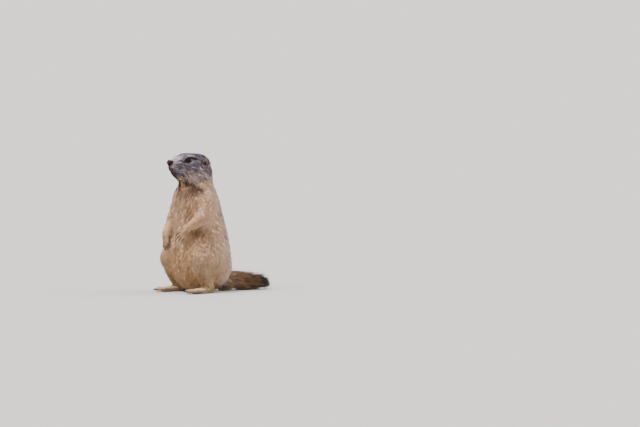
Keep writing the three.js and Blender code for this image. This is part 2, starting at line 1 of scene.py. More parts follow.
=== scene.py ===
"""The looks of a sitting alpine marmot: skin, coat, eyes, nose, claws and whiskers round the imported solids."""
import math

import bpy
import numpy as np
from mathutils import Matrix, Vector, kdtree
from mathutils.bvhtree import BVHTree


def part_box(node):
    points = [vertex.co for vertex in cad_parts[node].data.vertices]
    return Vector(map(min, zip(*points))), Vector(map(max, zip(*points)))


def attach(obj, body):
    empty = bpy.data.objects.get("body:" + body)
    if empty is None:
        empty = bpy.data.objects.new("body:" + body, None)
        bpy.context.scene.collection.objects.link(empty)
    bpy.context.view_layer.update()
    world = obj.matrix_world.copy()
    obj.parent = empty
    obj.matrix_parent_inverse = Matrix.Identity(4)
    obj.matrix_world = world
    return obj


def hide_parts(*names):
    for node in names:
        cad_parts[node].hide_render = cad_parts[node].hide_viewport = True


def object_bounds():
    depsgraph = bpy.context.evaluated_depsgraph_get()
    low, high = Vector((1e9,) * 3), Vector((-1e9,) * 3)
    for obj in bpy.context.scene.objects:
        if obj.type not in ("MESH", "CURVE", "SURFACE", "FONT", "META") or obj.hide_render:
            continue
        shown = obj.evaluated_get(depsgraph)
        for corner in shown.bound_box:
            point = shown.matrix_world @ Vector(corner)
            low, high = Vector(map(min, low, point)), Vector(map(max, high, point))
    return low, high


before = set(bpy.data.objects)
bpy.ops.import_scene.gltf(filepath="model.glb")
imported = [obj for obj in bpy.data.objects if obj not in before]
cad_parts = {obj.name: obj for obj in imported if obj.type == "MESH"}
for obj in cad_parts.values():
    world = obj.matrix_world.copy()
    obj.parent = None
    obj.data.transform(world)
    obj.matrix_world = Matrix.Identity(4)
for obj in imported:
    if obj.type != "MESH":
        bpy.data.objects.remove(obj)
CAD_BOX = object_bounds()

MM = 0.001
SIDES = {"left": 1, "right": -1}
UP = np.array([0.0, 0.0, 1.0])

# Places. Body sizes are in hundredths of the sitting height (BU), head sizes in hundredths of the head's length
# (HU).

EYE_PLACE = np.array([15.4, 48.2, 5.0])  # the middle of the left eye, in the head's units


def unit(v):
    v = np.asarray(v, float)
    return v / np.maximum(np.linalg.norm(v, axis=-1, keepdims=True), 1e-12)


def centre(node):
    low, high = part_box(node)
    return (np.array(low) + np.array(high)) / 2


BU = CAD_BOX[1][2] / 100
EYE_AT = centre("eye_left")
EYES_APART = EYE_AT - centre("eye_right")
HEAD_X = unit(EYES_APART)
HEAD_AXES = np.array([HEAD_X, np.cross(UP, HEAD_X), UP])
HU = np.linalg.norm(EYES_APART) / (2 * EYE_PLACE[0])
HEAD_ZERO = EYE_AT - HU * EYE_PLACE @ HEAD_AXES


def head(x, y, z):
    """A place in the head's own frame: x to its left, y back from the tip of the nose, z up."""
    return HEAD_ZERO + HU * np.array([x, y, z], float) @ HEAD_AXES


def in_head(points):
    return (points - HEAD_ZERO) @ HEAD_AXES.T / HU


EYE_RADIUS = (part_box("eye_left")[1][2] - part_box("eye_left")[0][2]) / 2
EYE_WAY = unit([0.88, -0.42, 0.22])  # in the head's frame, of the left eye
EAR_WAY = unit([0.93, -0.33, 0.16])
EAR_AT, EAR_WIDE, EAR_TALL, EAR_LEAN = (31, 81.5, 1.8), 9.4 * HU, 11.6 * HU, -0.45
MOUTH_FRONT, MOUTH_CORNER = np.array([0, 14, -18.2]), np.array([0, 36, -26.4])
TAIL_CORE = np.array([5.4, 3.6, 3.1, 1.5]) * BU


# Numbers


def size(rows):
    return np.linalg.norm(rows, axis=1)


def ramp(low, high, x):
    t = np.clip((x - low) / (high - low), 0, 1)
    return t * t * (3 - 2 * t)


def hump(x, middle, width):
    return np.exp(-(((x - middle) / width) ** 2))


def mix(a, b, t):
    return a + (b - a) * t


def blend(a, b, t):
    """mix for rows of vectors or colours."""
    return a + (b - a) * np.asarray(t)[..., None]


def linear(*rgb):
    """A colour given as 0 to 255 on a screen, as scene-linear."""
    c = np.array(rgb, float) / 255
    return np.where(c <= 0.04045, c / 12.92, ((c + 0.055) / 1.055) ** 2.4)


# Meshes


def arrays_of(mesh):
    """Vertices and triangles of a Blender mesh."""
    verts = np.empty(len(mesh.vertices) * 3)
    mesh.vertices.foreach_get("co", verts)
    mesh.calc_loop_triangles()
    faces = np.empty(len(mesh.loop_triangles) * 3, np.int64)
    mesh.loop_triangles.foreach_get("vertices", faces)
    return verts.reshape(-1, 3), faces.reshape(-1, 3)


def node_arrays(node):
    """Vertices and triangles of a solid, with doubled vertices made one and no faces without an area."""
    verts, faces = arrays_of(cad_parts[node].data)
    keys = np.round(verts / 1e-6).astype(np.int64)
    _, first, back = np.unique(keys, axis=0, return_index=True, return_inverse=True)
    faces = back.reshape(-1)[faces]
    return verts[first], faces[(faces != np.roll(faces, -1, 1)).all(1)]


def added(name, data):
    thing = bpy.data.objects.new(name, data)
    bpy.context.scene.collection.objects.link(thing)
    return thing


def piece_from(name, verts, faces):
    mesh = bpy.data.meshes.new(name)
    mesh.vertices.add(len(verts))
    mesh.vertices.foreach_set("co", np.asarray(verts, np.float32).ravel())
    mesh.loops.add(faces.size)
    mesh.loops.foreach_set("vertex_index", np.asarray(faces, np.int32).ravel())
    mesh.polygons.add(len(faces))
    mesh.polygons.foreach_set("loop_start", np.arange(0, faces.size, faces.shape[1], dtype=np.int32))
    mesh.polygons.foreach_set("use_smooth", np.full(len(faces), True))
    mesh.update(calc_edges=True)
    return added(name, mesh)


def face_normals(verts, faces):
    a, b, c = (verts[faces[:, i]] for i in range(3))
    return np.cross(b - a, c - a)


def vertex_sum(index, values, count):
    """Sums rows of values by index."""
    return np.stack([np.bincount(index, values[:, k], count) for k in range(values.shape[1])], 1)


def normals_of(verts, faces):
    each = face_normals(verts, faces)
    return unit(sum(vertex_sum(faces[:, i], each, len(verts)) for i in range(3)))


class Surface:
    """A triangle mesh with its neighbours, for smoothing what lies on it."""

    def __init__(self, verts, faces):
        self.verts, self.faces = verts, faces
        pairs = np.concatenate([faces[:, [0, 1]], faces[:, [1, 2]], faces[:, [2, 0]]])
        pairs = np.unique(np.sort(pairs, 1), axis=0)
        self.start = np.concatenate([pairs[:, 0], pairs[:, 1]])
        self.end = np.concatenate([pairs[:, 1], pairs[:, 0]])
        self.degree = np.maximum(np.bincount(self.start, minlength=len(verts)), 1)

    def mean(self, values):
        flat = values.reshape(len(values), -1)
        total = vertex_sum(self.start, flat[self.end], len(flat)) / self.degree[:, None]
        return total.reshape(values.shape)

    def spread(self, values, times, part=0.5):
        for _ in range(times):
            values = values + part * (self.mean(values) - values)
        return values

    def normals(self):
        return normals_of(self.verts, self.faces)

    def streaks(self, flow, seed, rounds, soften):
        """Random numbers drawn out along flow, with a mean of 0 and a spread of 1."""
        step = unit(self.verts[self.end] - self.verts[self.start])
        order = np.lexsort(((step * flow[self.start]).sum(1), self.start))
        start, end = self.start[order], self.end[order]
        each = np.arange(len(self.verts))
        behind = end[np.searchsorted(start, each, "left").clip(0, len(end) - 1)]
        ahead = end[np.searchsorted(start, each, "right") - 1]
        value = self.spread(np.random.default_rng(seed).normal(size=len(each)), soften)
        for _ in range(rounds):
            value = (value + value[ahead] + value[behind]) / 3
        return (value - value.mean()) / value.std()

    def tree(self):
        return BVHTree.FromPolygons(self.verts.tolist(), self.faces.tolist())


def changed(verts, faces, modifier, free=None, **settings):
    """Vertices and triangles after a modifier, which only works where free is 1, if that is given."""
    piece = piece_from("raw", verts, faces)
    change = piece.modifiers.new("change", modifier)
    if free is not None:
        piece.vertex_groups.new(name="free").add(np.flatnonzero(free).tolist(), 1.0, "REPLACE")
        change.vertex_group = "free"
    for key, value in settings.items():
        setattr(change, key, value)
    shown = piece.evaluated_get(bpy.context.evaluated_depsgraph_get())
    made = arrays_of(shown.to_mesh())
    shown.to_mesh_clear()
    mesh = piece.data
    bpy.data.objects.remove(piece)
    bpy.data.meshes.remove(mesh)
    return made


def nearest(tree, points):
    """The nearest place on a tree, its face's normal and index, for each point."""
    places, normals, faces, _ = zip(*(tree.find_nearest(p) for p in points.tolist()))
    return np.array(places), np.array(normals), np.array(faces)


def hit_at(tree, start, way):
    """Where a ray meets the tree's mesh, or None."""
    found = tree.ray_cast(start.tolist(), way.tolist())[0]
    return None if found is None else np.array(found)


def largest_part(verts, faces):
    """The connected part with the most vertices."""
    surface = Surface(verts, faces)
    label = np.arange(len(verts))
    while True:
        new = label.copy()
        np.minimum.at(new, surface.start, label[surface.end])
        new = new[new]
        if (new == label).all():
            break
        label = new
    keep = label == np.bincount(label).argmax()
    index = np.cumsum(keep) - 1
    return verts[keep], index[faces[keep[faces[:, 0]]]]


# The skin

VOXEL = 1.15 * MM

#  By kind: rounds of smoothing, and how deep in mm the skin lies under the coat; a hair's length and width in
#  mm, its lift as a part of its length, hairs a square cm, and how far they lean to their clump's leader; how
#  dark a hair's root is, how pale its tip, how many have dark tips, how much streaks, clumps and single hairs
#  differ; and the slot.
COLUMNS = "rounds depth length width lift density pull dark pale tipped streaks clumps hairs slot".split()
KINDS = {
    "head": (12, 1.6, 7, 0.42, 0.2, 480, 0.35, 0.5, 0.4, 0.2, 0.6, 0.16, 0.18, "face_fur"),
    "neck": (70, 5, 17, 0.45, 0.2, 230, 0.5, 0.55, 0.42, 0.1, 0.19, 0.13, 0.15, "body_fur"),
    "torso": (120, 6, 22, 0.52, 0.19, 150, 0.55, 0.55, 0.42, 0.07, 0.11, 0.12, 0.14, "body_fur"),
    "upper_arm": (45, 4, 16, 0.45, 0.17, 205, 0.5, 0.58, 0.4, 0.03, 0.11, 0.1, 0.1, "limb_fur"),
    "forearm": (22, 2.6, 9.5, 0.38, 0.16, 310, 0.4, 0.55, 0.3, 0.02, 0.09, 0.09, 0.1, "limb_fur"),
    "hand": (3, 0.5, 3.4, 0.27, 0.2, 560, 0.2, 0.6, 0.35, 0.06, 0.12, 0.12, 0.12, "paw_fur"),
    "thigh": (60, 5.5, 19, 0.5, 0.18, 165, 0.5, 0.55, 0.4, 0.07, 0.12, 0.13, 0.13, "limb_fur"),
    "shank": (30, 3, 11, 0.44, 0.2, 180, 0.4, 0.5, 0.32, 0.04, 0.12, 0.1, 0.1, "limb_fur"),
    "foot": (4, 0.6, 4, 0.32, 0.2, 330, 0.2, 0.55, 0.35, 0.06, 0.12, 0.12, 0.12, "paw_fur"),
    "tail": (20, 0.8, 36, 0.8, 0.28, 70, 0.5, 0.55, 0.2, 0.12, 0.2, 0.14, 0.14, "tail_fur"),
    "ear": (0, 0, 0, 0, 0, 0, 0, 0.6, 0.35, 0.08, 0, 0.14, 0.14, "face_fur"),
    "lid": (0, 0, 0, 0, 0, 0, 0, 0.6, 0.3, 0.1, 0, 0.12, 0.12, "face_fur"),
}
LABELS = {kind: i for i, kind in enumerate(KINDS)}
PAIRED = list(KINDS)[3:9]
FLESH = ["head", "neck", "torso"] + [f"{kind}_{side}" for kind in PAIRED for side in SIDES]


def by_kind(column, labels):
    return np.array([row[COLUMNS.index(column)] for row in KINDS.values()], float)[labels]


def of_kind(labels, *kinds):
    return np.isin(labels, [LABELS[kind] for kind in kinds])


def tail_line():
    """The middle of the tail from its root to its end, from the solid's own slices."""
    verts, _ = node_arrays("tail")
    low, high = verts[:, 1].min(), verts[:, 1].max()
    steps = np.linspace(low + 4 * BU, high - 9 * BU, 7)
    line = [verts[np.abs(verts[:, 1] - y) < 5 * BU].mean(0) for y in steps]
    root = np.array([0, low - 2 * BU, line[0][2] + 1 * BU])
    return np.array([root] + line)


def resample(line, count):
    """Points at even steps along a smooth curve through line."""
    line = np.asarray(line, float)
    fine = np.linspace(0, len(line) - 1, count)
    ends = np.concatenate([[2 * line[0] - line[1]], line, [2 * line[-1] - line[-2]]])
    i = np.minimum(fine.astype(int), len(line) - 2)
    u = (fine - i)[:, None]
    a, b, c, d = (ends[i + k] for k in range(4))
    return 0.5 * (2 * b + (c - a) * u + (2 * a - 5 * b + 4 * c - d) * u**2 + (3 * b - a - 3 * c + d) * u**3)


def ring_angles(count):
    return np.arange(count) * 2 * math.pi / count


def grid_faces(rows, columns):
    """Triangles between the rows of a grid whose columns go round."""
    i, j = np.meshgrid(np.arange(rows - 1), np.arange(columns), indexing="ij")
    a = (i * columns + j).ravel()
    b = (i * columns + (j + 1) % columns).ravel()
    return np.concatenate([np.stack([a, b, b + columns], 1), np.stack([a, b + columns, a + columns], 1)])


def capped_faces(rows, columns):
    """The same, and triangles from its first and last row to two more vertices."""
    j = np.arange(columns)
    k = (j + 1) % columns
    first = np.stack([0 * j + rows * columns, k, j], 1)
    last = np.stack([0 * j + rows * columns + 1, j + (rows - 1) * columns, k + (rows - 1) * columns], 1)
    return np.concatenate([grid_faces(rows, columns), first, last])


def tube(line, wide, thick=None, sides=12, across=(1, 0, 0)):
    """A closed tube round line. wide and thick are its half sizes at each point."""
    line = np.asarray(line, float)
    wide = np.broadcast_to(wide, len(line))
    thick = wide if thick is None else thick
    along = unit(np.gradient(line, axis=0))
    up = unit(np.cross(along, across))
    side = np.cross(up, along)
    angle = ring_angles(sides)[None, :, None]
    ring = side[:, None] * np.cos(angle) * wide[:, None, None]
    ring = ring + up[:, None] * np.sin(angle) * thick[:, None, None]
    ends = [line[0] - along[0] * thick[0] * 0.5, line[-1] + along[-1] * thick[-1] * 0.5]
    verts = np.concatenate([(line[:, None] + ring).reshape(-1, 3), ends])
    faces = capped_faces(len(line), sides)
    if (verts[faces[:, 0]] * face_normals(verts - verts.mean(0), faces)).sum() < 0:
        faces = faces[:, ::-1]
    return verts, faces


def joined(parts):
    """The meshes of parts as one."""
    starts = np.cumsum([0] + [len(verts) for verts, _ in parts])
    faces = [faces + start for (_, faces), start in zip(parts, starts)]
    return np.concatenate([verts for verts, _ in parts]), np.concatenate(faces)


def tail_core():
    line = resample(tail_line(), 40)
    radius = np.interp(np.linspace(0, 1, 40), np.linspace(0, 1, 4), TAIL_CORE)
    return tube(line, radius, sides=20)

DIGITS = dict(hand=4, foot=5)
TIP_RADIUS = dict(hand=2.3 * MM, foot=2.5 * MM)  # of the flesh of a digit round its claw's root


def claw_of(paw, side, i):
    """Where a claw of the solids leaves its digit, the way it points and its length."""
    verts, _ = node_arrays(f"claw_{paw}_{side}_{i + 1}")
    middle = verts.mean(0)
    along = np.linalg.svd(verts - middle)[2][0]
    along = along * np.sign(along @ (middle - centre(f"{paw}_{side}")))
    reach = (verts - middle) @ along
    base = verts[reach < np.quantile(reach, 0.3)].mean(0)
    return base, along, np.ptp(reach)


def raw_flesh():
    """All flesh as one mesh. Each node is grown a little so that the gaps close, and the hands are made
    thinner so that their fingers stay apart."""
    parts = [tail_core()]
    for node in FLESH + ["nose", "eye_left", "eye_right"]:
        verts, faces = node_arrays(node)
        grow = -0.25 if node.startswith("hand") else 0.3
        parts.append((verts + grow * MM * normals_of(verts, faces), faces))
    for side in SIDES:
        parts.append(tube(resample([centre(f"forearm_{side}"), centre(f"hand_{side}")], 6), 5 * MM))
        for paw, count in DIGITS.items():
            for i in range(count):
                base, along, _ = claw_of(paw, side, i)
                parts.append(tube([base + along * far * MM for far in (-3.5, -1.5, 0.4)], TIP_RADIUS[paw]))
    return joined(parts)


def node_labels(points):
    """The kind of the nearest flesh node for each point, as its number in LABELS."""
    parts = [(node, node_arrays(node)) for node in FLESH] + [("tail", tail_core())]
    verts, faces = joined([arrays for _, arrays in parts])
    label = [LABELS[next((k for k in PAIRED if node.startswith(k)), node)] for node, _ in parts]
    owner = np.repeat(label, [len(faces) for _, (_, faces) in parts])
    return owner[nearest(BVHTree.FromPolygons(verts.tolist(), faces.tolist()), points)[2]]


def make_skin():
    """The skin and the kind of each of its vertices."""
    verts, faces = largest_part(*changed(*raw_flesh(), "REMESH", mode="VOXEL", voxel_size=VOXEL))
    labels = node_labels(verts)
    surface = Surface(verts, faces)
    rounds = surface.spread(by_kind("rounds", labels), 25) * (1.15 * MM / VOXEL) ** 2
    for turn in range(int(rounds.max()) + 1):
        surface.verts = surface.spread(surface.verts, 1, 0.5 * np.clip(rounds - turn, 0, 1)[:, None])
    fine = of_kind(labels, "head", "hand", "foot")
    ratio = (fine.sum() + 0.22 * (~fine).sum()) / len(fine)
    surface = Surface(*changed(surface.verts, faces, "DECIMATE", ~fine, ratio=ratio))
    labels = node_labels(surface.verts)
    depth = surface.spread(by_kind("depth", labels) * MM, 20)
    face = of_kind(labels, "head") * ramp(60, 25, in_head(surface.verts)[:, 1])
    depth = mix(depth, 0.7 * MM, surface.spread(face, 5))
    surface.verts = surface.spread(surface.verts - depth[:, None] * surface.normals(), 1)
    fit_under_nose(surface)
    floor = np.where(of_kind(labels, "torso"), 0.4 * MM, 0.2 * MM)
    surface.verts[:, 2] = np.maximum(surface.verts[:, 2], floor)
    return surface, labels


# Eyes and lids

EYE_Z = EYE_WAY @ HEAD_AXES
EYE_X = unit(np.cross(UP, EYE_Z))  # backwards on the left side
EYE_Y = np.cross(EYE_Z, EYE_X)
EYE_AXES = np.array([EYE_X, EYE_Y, EYE_Z])
OPENING = (5.8 * HU, 3.4 * HU, 2.8 * HU)  # half its length, and its height above and below the middle
MIRROR = np.eye(3) - 2 * np.outer(HEAD_X, HEAD_X)


def mirrored(points):
    """Points on the other side of the head."""
    return (points - HEAD_ZERO) @ MIRROR + HEAD_ZERO


def opening_shape(angle):
    """The almond between the lids at each angle, in the eye's own plane. Its front corner is the lower one."""
    x, y = np.cos(angle), np.sin(angle)
    tall = np.where(y > 0, OPENING[1], OPENING[2])
    y = np.sign(y) * np.abs(y) ** 1.15 * tall + 0.12 * OPENING[1] * x
    return np.stack([x * OPENING[0], y], -1)


def in_eye(verts, side):
    """Places in the frame of one side's eye, mirrored for the right one."""
    return ((verts if side > 0 else mirrored(verts)) - EYE_AT) @ EYE_AXES.T


def fit_round_eyes(surface):
    """The skin near each eye lies just outside the ball, and inside it where the opening is."""
    for side in SIDES.values():
        q = in_eye(surface.verts, side)
        reach = size(q)
        part = np.hypot(q[:, 0] / OPENING[0], q[:, 1] / (0.5 * (OPENING[1] + OPENING[2])))
        wanted = mix(EYE_RADIUS + 0.3 * MM, EYE_RADIUS - 1.6 * MM, ramp(1.35, 0.95, part))
        near = (q[:, 2] > 0) * ramp(EYE_RADIUS + 4 * MM, EYE_RADIUS + 1.5 * MM, reach)
        p = EYE_AT + (q * (1 + near * (wanted / np.maximum(reach, 1e-6) - 1))[:, None]) @ EYE_AXES
        surface.verts = p if side > 0 else mirrored(p)


#  of the lids, from the rim outwards: mm off the ball, and the opening's size times what
LID_ROWS = [(-0.5, 1.0), (0.35, 0.97), (0.85, 1.02), (1.0, 1.12), (0.95, 1.28), (0.8, 1.5)]
LID_SIDES = 56


def lid_mesh(tree):
    """Both lids of the left eye as one ring: rows that start inside the rim and end under the skin around."""
    shape = opening_shape(ring_angles(LID_SIDES))
    rows = []
    for off, scale in LID_ROWS:
        xy = shape * scale
        radius = EYE_RADIUS + off * MM
        z = np.sqrt(np.maximum(radius**2 - (xy**2).sum(1), (0.3 * radius) ** 2))
        rows.append(np.concatenate([xy, z[:, None]], 1))
    outer = []
    for x, y in shape * 2.3:
        found = hit_at(tree, EYE_AT + np.array([x, y, 3 * EYE_RADIUS]) @ EYE_AXES, -EYE_Z)
        outer.append((x, y, (0.0 if found is None else (found - EYE_AT) @ EYE_Z) - 1.0 * MM))
    for t in (0.3, 0.6, 0.85, 1.0):
        bent = rows[len(LID_ROWS) - 1] + (np.array(outer) - rows[len(LID_ROWS) - 1]) * t
        bent[:, 2] += 0.5 * MM * math.sin(math.pi * t)
        rows.append(bent)
    return EYE_AT + np.concatenate(rows) @ EYE_AXES, grid_faces(len(rows), LID_SIDES)


def ball_mesh(rows, columns):
    """A ball with a radius of 1, round z and closed at its poles."""
    polar = np.linspace(0.004, math.pi - 0.004, rows)
    p, a = np.meshgrid(polar, ring_angles(columns), indexing="ij")
    ways = np.stack([np.sin(p) * np.cos(a), np.sin(p) * np.sin(a), np.cos(p)], -1).reshape(-1, 3)
    return np.concatenate([ways, [[0, 0, 1], [0, 0, -1]]]), capped_faces(rows, columns)[:, ::-1]


def make_eye(side):
    """An eyeball with its cornea, and its tint: the pupil and the dark iris."""
    verts, faces = ball_mesh(40, 56)
    tilt = np.degrees(np.arccos(np.clip(verts[:, 2], -1, 1)))
    bulge = 0.05 * ramp(40, 10, tilt)
    place = EYE_AT + (verts * (1 + bulge)[:, None] * (EYE_RADIUS - 0.1 * MM)) @ EYE_AXES
    if side < 0:
        place, faces = mirrored(place), faces[:, ::-1]
    layers = ((12, 8, 6), ramp(17, 21, tilt)), ((12, 8, 8), ramp(34, 42, tilt))
    tint = painted(all_over((3, 2, 2), verts), *layers)
    return place, faces, tint


# Ears

EAR_OUTSIDE = [(0, -0.62), (0.3, -0.61), (0.55, -0.55), (0.78, -0.42), (0.93, -0.2), (1.0, 0.02)]
EAR_RIM = [(0.99, 0.12), (0.94, 0.17), (0.87, 0.14)]
EAR_INSIDE = [(0.8, 0.02), (0.68, -0.14), (0.52, -0.28), (0.34, -0.38), (0.16, -0.43), (0, -0.44)]
EAR_SIDES = 44


def ear_mesh():
    """The cup of the left ear: its verts and faces, the way its hair lies, how far in each place is, from the
    root outside to the pit, and its angle round the cup: 0 behind, a quarter turn on top."""
    profile = resample([(r, h, 0) for r, h in EAR_OUTSIDE + EAR_RIM + EAR_INSIDE], 40)[:, :2]
    way = EAR_WAY @ HEAD_AXES
    side = unit(np.cross(UP, way))
    axes = np.array([side, np.cross(way, side), way])
    depth, u = np.meshgrid(np.linspace(0, 1, len(profile)), ring_angles(EAR_SIDES), indexing="ij")
    r, h = (np.repeat(profile[:, k : k + 1], EAR_SIDES, 1) for k in (0, 1))
    low = ramp(0.62, 1.0, depth)  # the pit lies low in the cup
    x, y = r * np.cos(u) * EAR_WIDE, (r * np.sin(u) - 0.26 * low) * EAR_TALL
    rim = ramp(0.5, 1.0, r)
    z = EAR_WIDE * (h + rim * (0.16 * np.cos(u - 0.6) - 0.06 * np.cos(2 * u)))  # higher at the back and top
    c, s = math.cos(EAR_LEAN), math.sin(EAR_LEAN)
    local = np.stack([x * c - y * s, x * s + y * c, z], -1)
    verts = head(*EAR_AT) + local.reshape(-1, 3) @ axes
    inside = ramp(0.6, 0.75, depth).reshape(-1)
    out = np.stack([np.cos(u), np.sin(u), 0 * u], -1).reshape(-1, 3)
    lie = blend(np.array([1.0, 0.35, 0.3]) + 0.4 * out, 0.7 * out + [0.55, 0.25, 0.5], inside)
    faces = grid_faces(len(profile), EAR_SIDES)[:, ::-1]
    return verts, faces, unit(lie @ axes), depth.reshape(-1), u.reshape(-1)


# The nose pad

NOSTRIL = np.array([(3.2, 0.6, -2.2), (6, 2, -3.2), (8, 5.4, -2), (9.4, 9.4, 0.4)])
NOSE_MIDDLE = np.array([0, 7.6, -0.6])


def distance_to_line(points, line):
    """How far each point is from a line of points, and where along it the nearest place is, from 0 to 1."""
    best = np.full(len(points), 1e9)
    where = np.zeros(len(points))
    for i in range(len(line) - 1):
        a, ab = line[i], line[i + 1] - line[i]
        t = np.clip((points - a) @ ab / (ab @ ab), 0, 1)
        d = size(points - a - t[:, None] * ab)
        where = np.where(d < best, (i + t) / (len(line) - 1), where)
        best = np.minimum(best, d)
    return best, where


def nose_field(h):
    """Near enough the distance to the pad in the head's units, negative inside: a middle, two wings and
    the strip down to the lip, run together."""

    def egg(middle, sizes):
        q = (h - middle) / sizes
        far = size(q)
        return far * (far - 1) / np.maximum(size(q / sizes), 1e-9)

    strip, t = distance_to_line(h, np.array([(0, 6.4, -4), (0, 7.6, -8.6)]))
    total = egg([0, 7.4, 2], [5.6, 7, 6.3])
    for form in [egg([4.3 * s, 7.8, -0.4], [4.7, 7.4, 6]) for s in (1, -1)] + [strip - mix(3.2, 2.4, t)]:
        near = np.maximum(3 - np.abs(total - form), 0) / 3
        total = np.minimum(total, form) - near**2 * 0.75
    return total


def make_nose():
    """The pad with its comma-shaped nostrils and the groove between them, and its tint, with painted shade
    darkening the nostrils and the groove by their depth.
    """
    ways, faces = ball_mesh(64, 96)
    ways = ways[:, [0, 2, 1]]
    low, high = np.zeros(len(ways)), np.full(len(ways), 16.0)
    for _ in range(24):
        middle = (low + high) / 2
        inside = nose_field(NOSE_MIDDLE + ways * middle[:, None]) < 0
        low, high = np.where(inside, middle, low), np.where(inside, high, middle)
    h = NOSE_MIDDLE + ways * low[:, None]
    pit = np.zeros(len(h))
    for side in SIDES.values():
        line = resample(NOSTRIL * np.array([side, 1, 1]), 16)
        far, t = distance_to_line(h, line)
        pit += 3.4 * np.exp(-((far / (1.9 - 0.8 * t)) ** 2)) * (1 - 0.6 * t)
    pit += 0.7 * np.exp(-((h[:, 0] / 0.6) ** 2)) * ramp(1.5, -1, h[:, 2])
    h = h - ways * pit[:, None]
    # painted shade: the nostrils and the groove darkened by how deep they are
    tint = painted(all_over((34, 25, 23), h), ((1, 1, 1), np.clip(pit / 1.1, 0, 1)))
    return HEAD_ZERO + HU * h @ HEAD_AXES, faces[:, ::-1], tint


def behind_pad(h):
    """0 on the bare front of the nose's pad, 1 where fur covers it, which is further forward on top."""
    return ramp(0, 1.2, h[:, 1] - 7.2 + 2.6 * ramp(2, 8, h[:, 2]))


def fit_under_nose(surface):
    """The skin dips under the front of the pad of the nose and covers its back."""
    h = in_head(surface.verts)
    near = size(h - NOSE_MIDDLE) < 18
    far = nose_field(h[near]) * HU
    level = mix(-5 * MM, 0.3 * MM, behind_pad(h[near]))
    wanted = np.maximum(mix(level, far, ramp(0.1 * MM, 1.3 * MM, far)), level)
    way = unit(h[near] - NOSE_MIDDLE) @ HEAD_AXES
    surface.verts[near] += way * (wanted - far)[:, None]


# The mouth


def mouth_line(tree):
    """The line of the closed mouth on the skin, from the right corner round the front to the left one."""
    points = []
    for t in np.linspace(-1, 1, 41):
        start = mix(MOUTH_FRONT, MOUTH_CORNER, abs(t) ** 1.3)
        a = t * math.pi / 2
        points.append(hit_at(tree, head(*start), np.array([math.sin(a), -math.cos(a), 0]) @ HEAD_AXES))
    return np.array(points)


def fit_lips(surface, line):
    """Cuts the line of the mouth in, and swells the lips a little."""
    far, where = distance_to_line(surface.verts, line)
    ends = ramp(0, 0.08, where) * ramp(1, 0.92, where)
    depth = 1.5 * MM * np.exp(-((far / (1.0 * MM)) ** 2)) * (0.4 + 0.6 * ends)
    swell = 0.5 * MM * np.exp(-(((far - 2.6 * MM) / (1.4 * MM)) ** 2)) * ends
    surface.verts = surface.verts + (swell - depth)[:, None] * surface.normals()


# What lies where on the skin: numbers for each vertex


def noise(points, size, seed):
    """Smooth noise from -1 to 1, with lumps of about size."""
    q = points / size + 100 + seed * 17.3
    base = np.floor(q).astype(np.int64)
    f = q - base
    f = f * f * (3 - 2 * f)
    total = np.zeros(len(points))
    for corner in np.ndindex(2, 2, 2):
        c = base + corner
        key = c[:, 0] * 73856093 ^ c[:, 1] * 19349663 ^ c[:, 2] * 83492791 ^ seed * 2654435761
        key = (key ^ (key >> 13)) * 1274126177 & 0x7FFFFFFF
        value = ((key ^ (key >> 16)) & 0xFFFF) / 32767.5 - 1
        total += value * np.where(corner, f, 1 - f).prod(1)
    return total


def laid(way, normal):
    """way without what stands off along normal."""
    return way - (way * normal).sum(1, keepdims=True) * normal


def head_flow(h):
    """The way the coat lies on the head, in its own frame: back from the nose, and down over the cheeks."""
    side = np.sign(h[:, 0]) * ramp(2, 14, np.abs(h[:, 0]))
    from_nose = unit(h - np.array([0, -4, -2]))
    drop = 0.1 + 0.75 * ramp(8, -22, h[:, 2]) * ramp(18, 50, h[:, 1])
    drop = drop + 1.3 * ramp(78, 112, h[:, 1])
    back = unit(np.stack([0.12 * side, np.ones(len(h)), -drop], 1))
    under = ramp(-30, -44, h[:, 2]) * ramp(20, 40, h[:, 1])
    back = blend(back, np.array([0, 0.35, -1.0]), under)
    return unit(blend(back, from_nose, ramp(38, 12, h[:, 1])))


def flow_of(surface, labels):
    """The way the coat lies at each vertex."""
    p = surface.verts
    x, y = p[:, 0] / BU, p[:, 1] / BU
    n = surface.normals()
    back = ramp(-6, 8, y)
    aside = 0.25 * np.sign(x) * ramp(2, 12, np.abs(x)) * (1 - back)
    flow = np.stack([aside, 0.45 * back, -np.ones(len(p))], 1)
    on_head = of_kind(labels, "head")
    flow[on_head] = (head_flow(in_head(p)) @ HEAD_AXES)[on_head]
    for side, sign in SIDES.items():
        here = np.sign(x) == sign
        nodes = f"upper_arm_{side} forearm_{side} hand_{side} claw_hand_{side}_2 shank_{side} foot_{side}"
        arm, fore, hand, claw, shank, foot = map(centre, nodes.split())
        ways = dict(forearm=hand - fore, hand=claw - hand, foot=[0, -1, -0.1], thigh=[0.1 * sign, -0.35, -1])
        ways.update(upper_arm=unit(fore - arm) + [0, 0.1, -0.3], shank=unit(foot - shank) + [0, 0, -1])
        for kind, way in ways.items():
            flow[of_kind(labels, kind) & here] = unit(way)
    tail = of_kind(labels, "tail")
    line = tail_line()
    _, where = distance_to_line(p[tail], line)
    steps = np.linspace(0, 1, len(line))
    flow[tail] = np.stack([np.interp(where, steps, way) for way in unit(np.gradient(line, axis=0)).T], 1)
    for _ in range(5):
        flow = surface.spread(unit(laid(flow, n)), 8)
    return unit(laid(flow, n))


